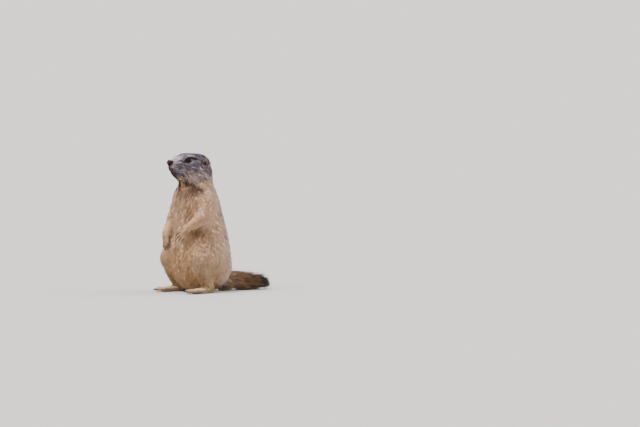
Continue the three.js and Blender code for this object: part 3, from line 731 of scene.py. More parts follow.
def hair_of(surface, labels, mouth):
    """Length, width, lift and density of the hair at each vertex."""
    p, h = surface.verts, in_head(surface.verts)
    length, width, lift, density = (by_kind(column, labels) for column in COLUMNS[2:6])
    on_head = of_kind(labels, "head")
    x, y, z = np.abs(h[:, 0]), h[:, 1], h[:, 2]
    head_length = np.interp(y, [0, 14, 32, 55, 80, 100, 120], [1.8, 2.4, 3.6, 5.5, 8, 11, 15])
    head_length = head_length + 5 * ramp(-12, -34, z) * ramp(24, 50, y)
    near_eye = size((np.stack([x, y, z], 1) - [21, 45, 6.6]) / [8, 9, 7])
    head_length = mix(head_length, 2.3, ramp(1.5, 0.7, near_eye))
    length[on_head] = head_length[on_head]
    width[on_head] = np.clip(0.17 + 0.026 * head_length, 0.21, 0.5)[on_head]
    density[on_head] = np.interp(head_length, [2, 4, 8, 15], [860, 660, 440, 240])[on_head]
    length, width, lift, density = (surface.spread(v, 12) for v in (length, width, lift, density))
    bare = ramp(1.0, 0.6, distance_to_line(p, mouth)[0] / MM)
    bare = np.maximum(bare, ramp(0.9, 0.3, nose_field(h)) * ramp(0.6, 0.2, behind_pad(h)))
    for side in SIDES.values():
        q = in_eye(p, side)
        near = (size(q) < 1.5 * EYE_RADIUS) & (q[:, 2] > 0)
        part = np.hypot(q[:, 0] / OPENING[0], q[:, 1] / OPENING[1])
        bare = np.maximum(bare, near * ramp(1.5, 1.3, part))
    bare = np.maximum(bare, (p[:, 2] < 3 * MM) * ramp(-0.3, -0.7, surface.normals()[:, 2]))
    return dict(length=length * MM, width=width * MM, lift=lift, density=density * (1 - bare))


# Colours, which the skin and the coat's hairs share. Each is given as it is on a screen, from 0 to 255.

BRIGHTEST, DARKEST = 0.88, 0.003  # of what a coat reflects
BUFF = (228, 189, 153)
BACK_GREY = (247, 213, 206)
#  marks on the head, which are the same on both sides: colour, strength, middle, half sizes and tilt in degrees
HEAD_MARKS = [
    ((76, 69, 78), 0.9, (10, 72, 21), (20, 30, 9), 0),  # crown
    ((68, 62, 70), 0.75, (12, 84, 17), (14, 12, 8), -15),  # its darker back
    ((118, 103, 118), 0.8, (10, 42, 19), (12, 10, 5), 10),  # forehead
    ((255, 244, 252), 1.0, (0, 14, 8), (9.5, 14, 6), 22),  # bridge of the nose
    ((226, 212, 222), 0.85, (8, 23, 8.5), (9, 11, 4.5), 22),
    ((96, 86, 96), 0.8, (0, 42, 24), (9, 18, 5), 18),  # dark top of the forehead
    ((116, 101, 108), 0.7, (13, 24, -2), (9, 13, 8), 0),  # side of the muzzle
    ((172, 160, 168), 0.7, (11, 25, 4), (9, 12, 6), 15),
    ((78, 62, 54), 0.85, (5, 9, -14), (9, 7.5, 9), 0),  # front of the muzzle
    ((30, 21, 18), 0.95, (0, 5, -14), (8, 5.5, 9), 0),  # below the nose to the lip
    ((60, 50, 54), 0.6, (12, 27, -3), (6, 7, 2.2), -34),  # streak behind the nostril
    ((196, 180, 180), 0.85, (13, 25, -11), (9, 10, 4.2), -15),  # whisker pad's lower part
    ((78, 60, 50), 0.85, (5, 16, -25), (10, 9, 4), -28),  # lower lip
    ((186, 154, 138), 0.95, (13, 29, -33), (9, 8, 5.5), -30),  # chin's side
    ((98, 82, 83), 0.8, (20, 43, -1.5), (8, 8, 4.5), 0),  # below the eye
    ((40, 32, 35), 0.9, (20, 54, -2.5), (8, 2.7, 6.5), -20),  # spot behind the eye
    ((146, 132, 148), 0.75, (24, 64, -1), (8, 9, 8), 0),  # temple
    ((136, 124, 131), 0.45, (26, 58, -14), (10, 9, 5), -30),
    ((44, 36, 39), 0.85, (28, 57.5, -15.5), (9, 5, 2.3), 38),  # dark mark on the cheek
    ((96, 84, 88), 0.6, (26, 95, -10), (14, 6, 13), 10),  # behind the ear
    ((204, 184, 188), 0.8, (28, 76, -20), (12, 14, 9), -30),  # hind cheek
    ((72, 48, 32), 0.9, (16, 44, -33.5), (14, 8.5, 5), -10),  # painted shade under the jaw
    ((206, 184, 176), 0.8, (24, 92, -29), (14, 12, 5), -10),  # edge of the nape
    ((150, 137, 138), 0.55, (17, 48, 15.2), (5, 5, 1.5), 0),  # pale hair over the brow
]
FLAT = np.array([0.35, 1, 1])  # for distances on the head seen from its side
BROW_LINE = np.array([(22, 36.5, 4.5), (20, 40.5, 9), (19.5, 46.5, 12), (21, 53, 12.4), (24, 59, 10.4)])
CHIN_LINE = np.array([(0, 9, -21), (0, 17, -28), (0, 27, -37), (0, 34, -43)])
# the fold between jaw and neck, along which shade is painted
CREASE_LINE = np.array([(0, 30, -42), (12, 40, -41), (20, 49, -42), (28, 57, -47), (32, 61, -52)])

def all_over(colour, points):
    return np.tile(linear(*colour), (len(points), 1))


def painted(tint, *layers):
    """tint with layers over it: the colour of each, and how much of it shows at each place."""
    for colour, part in layers:
        tint = blend(tint, linear(*colour), part)
    return tint


def one_side(points):
    """Points with those on the right side moved to the left."""
    return np.stack([np.abs(points[:, 0]), points[:, 1], points[:, 2]], 1)


def with_crease_shade(tint, h):
    """Painted shade in the fold between jaw and neck, on both sides of the head."""
    far, _ = distance_to_line(one_side(h) * FLAT, CREASE_LINE * FLAT)
    return painted(tint, ((74, 46, 30), 0.75 * ramp(6, 1.5, far) * ramp(72, 62, h[:, 1])))


def paint_head(h):
    """The colour of the head at places in its own frame."""
    h = one_side(h)
    y, z = h[:, 1], h[:, 2]
    tint = painted(
        all_over((122, 109, 118), h),
        ((202, 176, 164), ramp(-12, -32, z + 0.1 * (y - 60)) * ramp(30, 46, y)),  # the cheek's low part
        ((98, 72, 52), ramp(-30, -38, z + 0.25 * (y - 30)) * ramp(58, 42, y)),  # painted shade under the jaw
    )
    for colour, strength, middle, sizes, tilt in HEAD_MARKS:
        d = h - middle
        c, s = math.cos(math.radians(tilt)), math.sin(math.radians(tilt))
        d = np.stack([d[:, 0], d[:, 1] * c + d[:, 2] * s, d[:, 2] * c - d[:, 1] * s], 1) / sizes
        tint = painted(tint, (colour, strength * np.exp(-((d**2).sum(1) ** 1.4))))
    brow, _ = distance_to_line(h * FLAT, BROW_LINE * FLAT)
    chin, _ = distance_to_line(h * [0.6, 1, 1], CHIN_LINE)
    near_eye = size((h - [19, 46.2, 5.2]) / [9, 8.2, 4.6])
    tint = painted(
        tint,
        ((26, 19, 18), ramp(2.8, 1.0, nose_field(h)) * ramp(8.5, 5, z)),
        ((27, 21, 23), 0.95 * ramp(3.6, 1.6, brow)),
        ((34, 26, 26), 0.9 * ramp(1.2, 0.85, near_eye)),
        ((84, 64, 52), 0.8 * ramp(5.5, 2.5, chin)),
    )
    return with_crease_shade(tint, h)


def paint_trunk(p):
    """The colour of the body at places in the model."""
    x, y, z = one_side(p / BU).T
    # painted shade on the chest between the arms
    between = hump(p[:, 0] / BU, 6, 4.5) * hump(z, 64, 6) * ramp(-6, -10, y)
    throat = size((one_side(p / BU) - [7.6, -7, 75.4]) / [6, 5, 4.6])
    tufts = ramp(-0.1, 0.45, noise(p * [1, 1, 0.7], 5.5 * MM, 5) - 0.6 * (throat - 0.7))
    chest = hump(x, 0, 10) * ramp(-6, -12, y) * ramp(46, 54, z) * ramp(80, 72, z)
    collar = ramp(82, 77, z) * ramp(66, 72, z) * ramp(0, 9, x) * ramp(14, 4, y)
    tint = painted(
        all_over(BUFF, p),
        (BACK_GREY, 0.85 * ramp(4, 19, y + 0.1 * (z - 40))),
        ((220, 176, 148), 0.8 * chest),
        ((212, 164, 110), 0.5 * ramp(-4, -14, y) * ramp(44, 30, z)),  # the rufous belly
        ((246, 212, 186), 0.8 * hump(x, 20, 8) * hump(z, 34, 12) * ramp(-6, 8, y)),  # flank
        ((238, 204, 172), 0.7 * collar),
        ((146, 110, 86), 0.8 * hump(x, 0, 11) * ramp(-3, -9, y) * ramp(67, 74, z)),  # front of the neck: brown fur, and painted shade under the head
        ((138, 104, 87), 0.8 * ramp(1.3, 0.7, throat)),
        ((50, 28, 18), 0.9 * tufts * ramp(1.35, 1.0, throat)),
        # painted shade between the arms
        ((156, 114, 86), 0.6 * between),
        ((150, 112, 72), 0.85 * hump(x, 13, 6.5) * hump(z, 46.5, 4.5) * ramp(0, -7, y)),  # painted shade under the arms
        ((160, 140, 130), 0.7 * ramp(4, 12, y) * ramp(66, 78, z)),  # nape
    )
    return with_crease_shade(tint, in_head(p))


LIMB_COLOURS = dict(
    upper_arm=(250, 207, 174), forearm=(246, 201, 158), hand=(204, 168, 132),
    thigh=(222, 186, 150), shank=(200, 165, 128), foot=(186, 156, 126),
)


def tint_of(surface, labels, mouth):
    """The colour of skin and coat at each vertex."""
    p, h = surface.verts, in_head(surface.verts)
    y, z = p[:, 1] / BU, p[:, 2] / BU
    on_head = surface.spread(of_kind(labels, "head").astype(float), 50)
    up = ramp(-66, -44, h[:, 2] + 0.3 * (h[:, 1] - 60)) * ramp(0.3, 0.9, on_head)
    arms = [node_arrays(f"{kind}_{side}")[0] for kind in ("upper_arm", "forearm") for side in SIDES]
    arms = np.concatenate(arms)
    beside = size(p - arms[nearest_of(p, arms)]) / MM
    # painted shade in the folds of the torso beside the arms
    arm_fold_shade = ramp(15, 4, beside) * ramp(-2, -6, y) * ramp(70, 62, z)
    tint = blend(painted(paint_trunk(p), ((146, 108, 80), 0.6 * arm_fold_shade)), paint_head(h), up)
    for kind, colour in LIMB_COLOURS.items():
        greyer = 0.5 * ramp(2, 16, y) * (kind in ("upper_arm", "thigh"))
        here = of_kind(labels, kind)
        tint[here] = painted(all_over(colour, p), (BACK_GREY, greyer))[here]
    _, where = distance_to_line(p, tail_line())
    tail = all_over((152, 124, 96), p)
    tail = painted(tail, ((112, 84, 62), ramp(0.05, 0.5, where)), ((44, 36, 33), ramp(0.58, 0.85, where)))
    here = of_kind(labels, "tail")
    tint[here] = tail[here]
    soft = np.select([of_kind(labels, "head"), of_kind(labels, "hand", "foot")], [0.15, 0.4], 0.85)
    tint = blend(tint, surface.spread(tint, 10), soft)
    far, _ = distance_to_line(p, mouth)
    hollow = ((surface.spread(p, 8) - p) * surface.normals()).sum(1) / MM  # how deep each place lies, for painted shade between the digits
    tint = painted(
        tint,
        ((44, 34, 34), 0.9 * ramp(2.2, 0.9, far / MM)),
        # painted shade in the hollows between the digits and toes
        ((74, 54, 42), 0.8 * ramp(0.02, 0.3, hollow) * of_kind(labels, "hand", "foot")),
    )
    # darker towards the claws of the hands: the fingertips' darker fur, and painted shade
    for side in SIDES:
        claws = [claw_of("hand", side, i)[0] for i in range(DIGITS["hand"])]
        tips = np.min([size(p - claw) for claw in claws], 0)
        tint = painted(tint, ((96, 72, 54), 0.75 * ramp(11 * MM, 3 * MM, tips) * of_kind(labels, "hand")))
    return tint


# The coat

SINK = 0.5 * MM  # how far a hair's root lies in the skin
MOST_TRIANGLES = 1.46e6  # in the whole coat
MOST_IN_PIECE = 195000  # triangles in one piece of it
BLADE_FACES, SPINDLE_FACES = 4, 12  # of a hair of the body and of the tail
PER_CLUMP = 14
GUARD_PART = 0.06  # of the hairs, which are longer and stand off more
LOWEST = 0.6 * MM  # how near to the floor a hair may come
RINGS = [(0.25, 0.9), (0.62, 0.8)]  # of the tail's hairs: where they lie along a hair and how wide they are
PATCH = 0.0015  # half the size of a hair's patch on the unwrap

def scatter(rng, surface, weight, count):
    """Places spread evenly over the faces, by weight per area: face index and corner weights."""
    area = size(face_normals(surface.verts, surface.faces)) / 2
    total = np.cumsum(area * weight[surface.faces].mean(1))
    at = (np.arange(count) + rng.random(count)) / count * total[-1]
    face = np.searchsorted(total, at).clip(0, len(total) - 1)
    u, v = rng.random(count), rng.random(count)
    flip = u + v > 1
    u, v = np.where(flip, 1 - u, u), np.where(flip, 1 - v, v)
    return face, np.stack([1 - u - v, u, v], 1)


def at_places(values, surface, face, corners):
    picked = values[surface.faces[face]]
    return (picked * corners.reshape(corners.shape + (1,) * (picked.ndim - 2))).sum(1)


def turned(way, axis, angle):
    """way turned about a unit axis it is square to."""
    return way * np.cos(angle)[:, None] + np.cross(axis, way) * np.sin(angle)[:, None]


def nearest_of(points, others):
    """The index of the other point nearest to each point."""
    tree = kdtree.KDTree(len(others))
    for i, p in enumerate(others.tolist()):
        tree.insert(p, i)
    tree.balance()
    return np.array([tree.find(p)[1] for p in points.tolist()])


def make_hairs(surface, values, uv):
    """The coat's hairs: three points each, with their widths, colours and places on the skin's unwrap."""
    rng = np.random.default_rng(11)
    labels = values["labels"]
    area = size(face_normals(surface.verts, surface.faces)) / 2
    wanted = area * 1e4 * values["density"][surface.faces].mean(1)
    each = np.where(of_kind(labels[surface.faces[:, 0]], "tail"), SPINDLE_FACES, BLADE_FACES)
    count = int(wanted.sum() * min(1, MOST_TRIANGLES / (wanted * each).sum()) * (1))
    face, corners = scatter(rng, surface, values["density"], count)
    root = at_places(surface.verts, surface, face, corners)
    normal = unit(at_places(surface.normals(), surface, face, corners))
    names = ("flow", "length", "width", "lift", "tint", "streak")
    rows = (at_places(values[name], surface, face, corners) for name in names)
    way, length, width, lift, colour, streak = rows
    label = labels[surface.faces[face, 0]]
    place = (uv[face] * corners[..., None]).sum(1)

    leaders = np.flatnonzero(rng.random(count) < 1 / PER_CLUMP)
    clump = nearest_of(root, root[leaders])
    draw = lambda spread, size=count: rng.normal(0, spread, size)
    lead_turn, lead_lift = draw(0.2, len(leaders)), rng.uniform(0.65, 1.45, len(leaders))
    lead_tone = draw(1, len(leaders))
    way = turned(unit(laid(way, normal)), normal, lead_turn[clump] + draw(0.13))
    length = length * rng.uniform(0.72, 1.12, count)
    lift = lift * lead_lift[clump] * rng.uniform(0.75, 1.25, count)
    guard = rng.random(count) < GUARD_PART
    scaled = ((length, 1.18), (lift, 1.5), (width, 0.75))
    length, lift, width = (np.where(guard, v * times, v) for v, times in scaled)
    beside = of_kind(label, "torso", "thigh") * size(root - centre("hand_right"))
    lift = lift * (1 + ramp(34 * MM, 20 * MM, beside) * (beside > 0))  # closes the gap beside the far hand

    tree = surface.tree()
    middle, middle_normal, _ = nearest(tree, root + way * (0.5 * length)[:, None])
    middle_way = unit(way - (way * middle_normal).sum(1, keepdims=True) * middle_normal)
    tip, tip_normal, _ = nearest(tree, middle + middle_way * (0.5 * length)[:, None])
    straight = of_kind(label, "tail", "ear")  # which don't follow the skin's curve
    off = ((middle_normal * normal).sum(1) < 0.2) | straight
    middle_normal[off], middle[off] = normal[off], (root + way * (0.5 * length)[:, None])[off]
    off = ((tip_normal * middle_normal).sum(1) < 0.2) | straight
    tip_normal[off], tip[off] = middle_normal[off], (middle + middle_way * (0.5 * length)[:, None])[off]
    middle = middle + middle_normal * (length * lift * 0.8)[:, None]
    tip = tip + tip_normal * (length * lift * 1.05)[:, None]
    lead = leaders[clump]
    pull = by_kind("pull", label) * rng.uniform(0.5, 1.3, count)
    pull = np.clip(pull * (label == label[lead]), 0, 0.9)
    gap = tip[lead] - tip
    pull = (pull * (size(gap) < 0.7 * length))[:, None]
    tip = tip + gap * pull
    middle = middle + (middle[lead] - middle) * (0.4 * pull)
    for points in (middle, tip):
        points[:, 2] = np.maximum(points[:, 2], LOWEST)

    hairs = dict(root=root - SINK * normal, middle=middle, tip=tip, normal=normal, width=width, label=label)
    hairs.update(colour=colour, streak=streak, clump_tone=lead_tone[clump], own_tone=draw(1), place=place)
    return dict(hairs, draw=rng.random(count))


def hair_colours(hairs):
    """Colours at the root, middle and tip of each hair."""
    numbers = (by_kind(column, hairs["label"]) for column in COLUMNS[7:13])
    dark, pale, tipped, in_streaks, in_clumps, in_hairs = numbers
    tone = in_streaks * hairs["streak"] + in_clumps * np.clip(hairs["clump_tone"], -2, 1.5)
    colour = hairs["colour"] * np.exp(tone + in_hairs * hairs["own_tone"])[:, None]
    root = blend(colour * dark[:, None], linear(70, 58, 52), 0.25)
    tip = blend(colour, colour * 1.4 + 0.06, pale)
    black = (hairs["draw"] < tipped * np.exp(-0.6 * hairs["streak"]))[:, None]
    tip = np.where(black, colour * 0.35, tip)
    limited = lambda c: np.maximum(c * np.minimum(1, BRIGHTEST / c.max(1, keepdims=True)), DARKEST)
    return [limited(c) for c in (root, colour, tip)]


def blades(root, pull, tip, side, up, width):
    """Rows of corners of closed hairs with four faces, where each lies on its patch of the unwrap, how far
    along the hair it is, and the faces."""
    straight = mix(root, tip, 0.45)
    bend = ((pull - straight) * up).sum(1, keepdims=True) / 2
    ridge = straight + up * np.clip(bend, 0.3 * width, 0.9 * width)
    rows = [root + side * width / 2, root - side * width / 2, ridge, tip]
    faces = [(0, 3, 1), (0, 2, 3), (1, 3, 2), (0, 1, 2)]
    return rows, [(0.8, -1), (-0.8, -1), (0, 0), (0, 1)], [0, 0, 0.45, 1], faces


def spindles(root, pull, tip, side, up, width):
    """The same for hairs that bend over two rings of three corners."""
    rows, spots, along = [root], [(0, -1)], [0]
    for t, part in RINGS:
        at = root * (1 - t) ** 2 + pull * 2 * t * (1 - t) + tip * t**2
        for x, y in [(0, 0.6), (-1, -0.3), (1, -0.3)]:
            rows.append(at + (side * x + up * y) * width * part / 2)
            spots.append((0.8 * x, 2 * t - 1))
            along.append(t)
    faces = []
    for j in range(3):
        k = (j + 1) % 3
        faces += [(0, 1 + k, 1 + j), (4 + j, 4 + k, 7), (1 + j, 1 + k, 4 + k), (1 + j, 4 + k, 4 + j)]
    return rows + [tip], spots + [(0, 1)], along + [1], faces


def hair_mesh(name, hairs, chosen, form):
    """One piece of the coat, of closed hairs."""
    names = ("root", "middle", "tip", "normal", "width", "place")
    root, middle, tip, normal, width, place = (hairs[name][chosen] for name in names)
    side = unit(np.cross(normal, tip - root))
    up = unit(np.cross(tip - root, side))
    rows, spots, along, one = form(root, 2 * middle - (root + tip) / 2, tip, side, up, width[:, None])
    dark, full, pale = (shade[chosen] for shade in hairs["shades"])
    colours = [pale if t == 1 else mix(dark, full, min(1, 2.4 * t)) for t in along]
    faces = (np.arange(len(chosen))[:, None, None] * len(rows) + np.array(one)).reshape(-1, 3)
    piece = piece_from(name, np.stack(rows, 1).reshape(-1, 3), faces)
    paint(piece, np.stack(colours, 1).reshape(-1, 3))
    uv = np.clip(place, 2 * PATCH, 1 - 2 * PATCH)[:, None] + PATCH * np.array(spots)
    set_uv(piece, uv.reshape(-1, 2)[faces.ravel()])
    return piece


def paint(piece, colour):
    layer = piece.data.attributes.new("Tint", "FLOAT_COLOR", "POINT")
    colour = np.concatenate([colour, np.ones((len(colour), 1))], 1)
    layer.data.foreach_set("color", colour.astype(np.float32).ravel())


def set_uv(piece, uv):
    layer = piece.data.uv_layers.new(name="OFBake")
    layer.data.foreach_set("uv", uv.astype(np.float32).ravel())


# Materials


class Nodes:
    """A small builder of a material's nodes round its Principled shader."""

    def __init__(self, name, roughness, specular):
        self.material = bpy.data.materials.new(name)
        self.material.use_nodes = True
        self.tree = self.material.node_tree
        self.shader = self.tree.nodes["Principled BSDF"]
        self.fill(self.shader, {"Roughness": roughness, "Specular IOR Level": specular})

    def fill(self, node, values):
        """Sets a node's sockets to numbers, or links them to other nodes' sockets."""
        for socket, value in values.items():
            if isinstance(value, bpy.types.NodeSocket):
                self.tree.links.new(value, node.inputs[socket])
            else:
                node.inputs[socket].default_value = value
        return node.outputs

    def add(self, kind, values, **settings):
        node = self.tree.nodes.new(kind)
        for key, value in settings.items():
            setattr(node, key, value)
        return self.fill(node, values)

    def texture(self, kind, **numbers):
        return self.add(kind, dict(numbers, Vector=self.add("ShaderNodeTexCoord", {})["Object"]))

    def noise(self, scale, detail=3.0):
        return self.texture("ShaderNodeTexNoise", Scale=scale, Detail=detail)["Fac"]

    def ranged(self, value, low, high, start=0.3, end=0.7):
        values = {"Value": value, "From Min": start, "From Max": end, "To Min": low, "To Max": high}
        return self.add("ShaderNodeMapRange", values)["Result"]

    def finished(self, factors, roughness, bump=None):
        """The material: the piece's own colours made lighter and darker by the factors, a roughness, and a bump
        given as its height, strength and distance."""
        colour = self.add("ShaderNodeAttribute", {}, attribute_name="Tint")["Color"]
        for factor in factors:
            colour = self.add("ShaderNodeVectorMath", {0: colour, "Scale": factor}, operation="SCALE")["Vector"]
        self.fill(self.shader, {"Base Color": colour, "Roughness": roughness})
        if bump:
            bump = self.add("ShaderNodeBump", dict(zip(("Height", "Strength", "Distance"), bump)))
            self.fill(self.shader, {"Normal": bump["Normal"]})
        return self.material


def coat_material():
    n = Nodes("coat", 0.6, 0.15)
    factors = n.ranged(n.noise(420), 0.86, 1.14), n.ranged(n.noise(70), 0.92, 1.08)
    return n.finished(factors, n.ranged(n.noise(900), 0.52, 0.68), (n.noise(2600), 0.2, 0.0004))


def skin_material():
    n = Nodes("skin_under_coat", 0.75, 0.2)
    fine = n.noise(1500, 5.0)
    factors = n.ranged(fine, 0.8, 1.2), n.ranged(n.noise(120), 0.9, 1.1)
    return n.finished(factors, n.ranged(n.noise(600), 0.62, 0.85), (fine, 0.6, 0.0008))


def eye_material():
    n = Nodes("eye_gloss", 0.09, 0.08)
    return n.finished([n.ranged(n.noise(1400, 2.0), 0.75, 1.25)], n.ranged(n.noise(300), 0.07, 0.12))


def nose_material():
    n = Nodes("nose_leather", 0.55, 0.08)
    height = n.texture("ShaderNodeTexVoronoi", Scale=1300)["Distance"]
    factors = n.ranged(height, 0.8, 1.35, 0.0, 0.6), n.ranged(n.noise(250), 0.85, 1.2)
    return n.finished(factors, n.ranged(n.noise(500), 0.5, 0.7), (height, 0.5, 0.0005))


def claw_material():
    n = Nodes("claw_horn", 0.38, 0.45)
    factors = n.ranged(n.noise(900), 0.75, 1.3), n.ranged(n.noise(180), 0.9, 1.1)
    return n.finished(factors, n.ranged(n.noise(700), 0.3, 0.48), (n.noise(1800), 0.3, 0.0003))


# Lids and ears as parts of the skin


def part_of(verts, faces, kind, flow, tint, **numbers):
    """A part of the skin with its numbers for each vertex."""
    count = len(verts)
    each = {k: np.broadcast_to(v, count).astype(float) for k, v in dict(numbers, streak=0.0).items()}
    return dict(each, verts=verts, faces=faces, flow=flow, tint=tint, labels=np.full(count, LABELS[kind]))


def other_side(part):
    return dict(part, verts=mirrored(part["verts"]), faces=part["faces"][:, ::-1], flow=part["flow"] @ MIRROR)


def lid_part(tree):
    verts, faces = lid_mesh(tree)
    row = np.repeat(np.arange(len(verts) // LID_SIDES), LID_SIDES)
    h = in_head(verts)
    last = len(LID_ROWS)
    tint = painted(paint_head(h), ((24, 18, 18), 0.9 * ramp(last + 1.5, last - 0.5, row)))
    flow = unit(head_flow(h) @ HEAD_AXES + 1.3 * unit(verts - EYE_AT))
    density = 800 * ramp(last - 3.5, last - 1.5, row)
    return part_of(
        verts, faces[:, ::-1], "lid", flow, tint, length=2.1 * MM, width=0.24 * MM, lift=0.14, density=density
    )


def ear_part():
    verts, faces, lie, depth, around = ear_mesh()
    rim_at = len(EAR_OUTSIDE) / len(EAR_OUTSIDE + EAR_RIM + EAR_INSIDE)
    inside = ramp(rim_at + 0.1, rim_at + 0.3, depth)
    facing = lambda angle, power=1.0: np.clip(np.cos(around - angle), 0, 1) ** power
    rim = np.exp(-(((depth - rim_at - 0.04) / 0.13) ** 2))
    tint = painted(
        all_over((146, 128, 124), verts),
        ((30, 24, 24), 0.95 * rim * np.maximum(facing(3.6, 0.7), facing(0.5, 1.5))),
        ((186, 166, 158), 0.9 * rim * facing(2.0, 0.8)),
        ((136, 113, 106), inside),
        ((250, 232, 224), 0.9 * inside * ramp(0.9, 0.72, depth) * facing(1.5, 0.8)),
        ((206, 186, 180), 0.8 * inside * ramp(0.86, 0.7, depth) * facing(4.1, 2)),
        # painted shade in the pit of the ear
        ((16, 11, 11), ramp(0.78, 0.88, depth)),
    )
    length = (3.6 + 0.6 * rim + 1.2 * inside) * MM
    lift = 0.16 + 0.16 * inside
    density = mix(420, 260 * ramp(0.9, 0.78, depth), inside) * ramp(0.06, 0.2, depth)
    return part_of(verts, faces, "ear", lie, tint, length=length, width=0.32 * MM, lift=lift, density=density)


# Small pieces


def finish_piece(piece, material):
    piece.data.materials.append(material)
    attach(piece, "root")
    return piece


def whole_piece(name, verts, faces, tint, material, slot):
    piece = piece_from(name, verts, faces)
    paint(piece, tint)
    return finish_piece(piece, material)


def claw_mesh(base, along, length, back):
    """A curved claw, flat at its sides, from inside its digit to the tip. back is the way its back faces."""
    t = np.linspace(0, 1, 14)
    line = base + np.outer((t * 1.28 - 0.28) * length, along)
    line = line + np.outer(0.13 * length * np.sin(math.pi * t**1.2), back)
    width = np.interp(t, [0, 0.3, 0.7, 1], [1.15, 1.15, 0.75, 0.12]) * MM
    return tube(line, width, 1.2 * width, across=unit(np.cross(back, along)))


def make_claws(paw, side, material):
    """The claws of one paw, in the places of the solids' own."""
    root = centre(f"{paw}_{side}")
    verts, _ = node_arrays(f"{paw}_{side}")
    flat = np.linalg.svd(verts - verts.mean(0), full_matrices=False)[2][2]
    back = UP if paw == "foot" else flat * np.sign(flat @ (root * [1, 1, 0]))
    parts, tints = [], []
    for i in range(DIGITS[paw]):
        base, along, length = claw_of(paw, side, i)
        verts, faces = claw_mesh(base, along, length, unit(back - (back @ along) * along))
        parts.append((verts, faces))
        pale = all_over((74, 58, 48), verts)
        tints.append(painted(pale, ((30, 23, 20), ramp(0.1, 0.8, (verts - base) @ along / length))))
    piece = whole_piece(f"claws_{paw}_{side}", *joined(parts), np.concatenate(tints), material, "claw")
    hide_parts(*[f"claw_{paw}_{side}_{i + 1}" for i in range(DIGITS[paw])])


def whisker(root, way, bend, length, thick):
    t = np.linspace(0, 1, 9)
    line = root + np.outer(t * length, unit(way)) + np.outer(t**2 * length, bend)
    line = line - unit(way) * 0.6 * MM
    return tube(line, thick * (1 - t) ** 0.7 + 0.02 * MM, sides=5, across=unit(np.cross(way, [0.1, 0.2, 1])))


def make_whiskers(tree, material):
    """Four rows on each side of the muzzle, and three over each eye."""
    rng = np.random.default_rng(5)
    parts = []
    for side in SIDES.values():
        for row, i in np.ndindex(4, 4):
            y = 11.5 + 3.1 * i + 0.8 * row + rng.normal(0, 0.3)
            z = -4.5 - 3.0 * row + 0.4 * i + rng.normal(0, 0.3)
            root = hit_at(tree, head(2 * side, y, z), np.array([side, 0.25, 0]) @ HEAD_AXES)
            back, up = 0.35 + 0.16 * i + rng.normal(0, 0.06), 0.12 - 0.12 * row + rng.normal(0, 0.05)
            bend = np.array([-0.1 * side, 0.3, -0.22 + rng.normal(0, 0.05)]) @ HEAD_AXES
            length = (20 + 7 * i + rng.normal(0, 2)) * MM
            parts.append(whisker(root, np.array([side, back, up]) @ HEAD_AXES, bend, length, 0.13 * MM))
        for i in range(3):
            root = hit_at(tree, head(10 * side, 42 + 4 * i, 13), np.array([side, 0.1, 0.8]) @ HEAD_AXES)
            out = np.array([0.7 * side, 0.5 + 0.2 * i, 0.6]) @ HEAD_AXES
            parts.append(whisker(root, out, np.array([0, 0.2, -0.25]) @ HEAD_AXES, 19 * MM, 0.1 * MM))
    verts, faces = joined(parts)
    whole_piece("whiskers", verts, faces, all_over((26, 22, 22), verts), material, "claw")


# The whole animal

surface, labels = make_skin()
fit_round_eyes(surface)
mouth = mouth_line(surface.tree())
fit_lips(surface, mouth)
flow = flow_of(surface, labels)
streak = 0.8 * surface.streaks(flow, 1, 6, 0) + surface.streaks(flow, 2, 18, 2)
streak = streak / streak.std()
streak *= 1 + 1.1 * ramp(0, 14, surface.verts[:, 1] / BU) * of_kind(labels, "torso")
tint = tint_of(surface, labels, mouth)

tree = surface.tree()
main = dict(labels=labels, flow=flow, tint=tint, streak=streak, **hair_of(surface, labels, mouth))
lid, ear = lid_part(tree), ear_part()
parts = [dict(main, verts=surface.verts, faces=surface.faces), lid, other_side(lid), ear, other_side(ear)]
skin = Surface(*joined([(part["verts"], part["faces"]) for part in parts]))
values = {key: np.concatenate([part[key] for part in parts]) for key in main}

skin_piece = piece_from("skin", skin.verts, skin.faces)
under_coat = values["density"][:, None] > 60
paint(skin_piece, np.clip(np.where(under_coat, values["tint"] * 0.5, values["tint"]), DARKEST, 0.9))
bpy.context.view_layer.objects.active = skin_piece
skin_piece.select_set(True)
bpy.ops.object.mode_set(mode="EDIT")
bpy.ops.mesh.select_all(action="SELECT")
bpy.ops.uv.smart_project(angle_limit=math.radians(66), island_margin=0.002)
bpy.ops.object.mode_set(mode="OBJECT")
skin_piece.data.uv_layers[0].name = "OFBake"
uv = np.empty(len(skin.faces) * 6)
skin_piece.data.uv_layers[0].data.foreach_get("uv", uv)
uv = uv.reshape(-1, 3, 2)
skin_piece.select_set(False)
finish_piece(skin_piece, skin_material())
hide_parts(*FLESH, "tail", "ear_left", "ear_right")

hairs = make_hairs(skin, values, uv)
hairs["shades"] = hair_colours(hairs)
coat = coat_material()
for kind in KINDS:
    form, triangles = (spindles, SPINDLE_FACES) if kind == "tail" else (blades, BLADE_FACES)
    chosen = np.flatnonzero(of_kind(hairs["label"], kind))
    count = max(1, math.ceil(len(chosen) * triangles / MOST_IN_PIECE))
    for i, some in enumerate(np.array_split(chosen, count)):
        if len(some):
            finish_piece(hair_mesh(f"coat_{kind}_{i + 1}", hairs, some, form), coat)

for side, sign in SIDES.items():
    piece = whole_piece(f"eyeball_{side}", *make_eye(sign), eye_material(), "eye")
    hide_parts(f"eye_{side}")
nose = whole_piece("nose_pad", *make_nose(), nose_material(), "nose_skin")
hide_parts("nose")
horn = claw_material()
for side in SIDES:
    for paw in DIGITS:
        make_claws(paw, side, horn)
make_whiskers(tree, horn)

# Stage, lights and camera

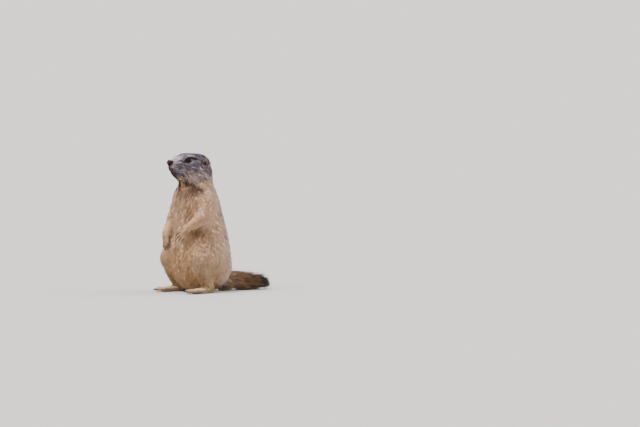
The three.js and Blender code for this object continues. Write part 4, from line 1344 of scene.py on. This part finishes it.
FLOOR = 200.0 * np.array([(-1, -1, 0), (1, -1, 0), (1, 1, 0), (-1, 1, 0)])
floor = piece_from("floor", FLOOR, np.array([(0, 1, 2, 3)]))
plain = Nodes("plain_floor", 0.9, 0.2)
plain.fill(plain.shader, {"Base Color": (0.5, 0.49, 0.475, 1.0)})
floor.data.materials.append(plain.material)

world = bpy.data.worlds.new("studio")
world.use_nodes = True
light = world.node_tree.nodes["Background"].inputs
light["Color"].default_value = (0.96, 0.965, 0.985, 1)
light["Strength"].default_value = 1.4
bpy.context.scene.world = world


def way_to(azimuth, elevation):
    """The way from the animal to a place round it, in degrees: 0 is in front of it, 90 on its left."""
    a, e = math.radians(azimuth), math.radians(elevation)
    return Vector((math.sin(a) * math.cos(e), -math.cos(a) * math.cos(e), math.sin(e)))


def sun(name, azimuth, elevation, strength, spread, colour=(1, 1, 1)):
    lamp = bpy.data.lights.new(name, "SUN")
    lamp.energy, lamp.angle, lamp.color = strength, math.radians(spread), colour
    added(name, lamp).rotation_euler = way_to(azimuth, elevation).to_track_quat("Z", "Y").to_euler()


sun("key", 12, 52, 4.6, 35, (1.0, 0.97, 0.93))
sun("back", 150, 40, 1.8, 50)

AZIMUTH, ELEVATION, DISTANCE = 50, 3, 17.4
PIXEL = 2.45 * MM  # the size of a pixel of the photo at the animal
FRAME = (640, 427)
ORIGIN_PIXEL = (196, 292)  # where the origin shows
back = way_to(AZIMUTH, ELEVATION)
right = Vector((math.cos(math.radians(AZIMUTH)), math.sin(math.radians(AZIMUTH)), 0))
over = back.cross(right)
data = bpy.data.cameras.new("camera")
data.sensor_width = 36
data.lens = data.sensor_width / (FRAME[0] * PIXEL) * DISTANCE
data.clip_end = 1000
camera = added("camera", data)
aim = right * ((FRAME[0] / 2 - ORIGIN_PIXEL[0]) * PIXEL) + over * ((ORIGIN_PIXEL[1] - FRAME[1] / 2) * PIXEL)
camera.location = aim + back * DISTANCE
camera.rotation_mode = "QUATERNION"
camera.rotation_quaternion = back.to_track_quat("Z", "Y")
bpy.context.scene.camera = camera
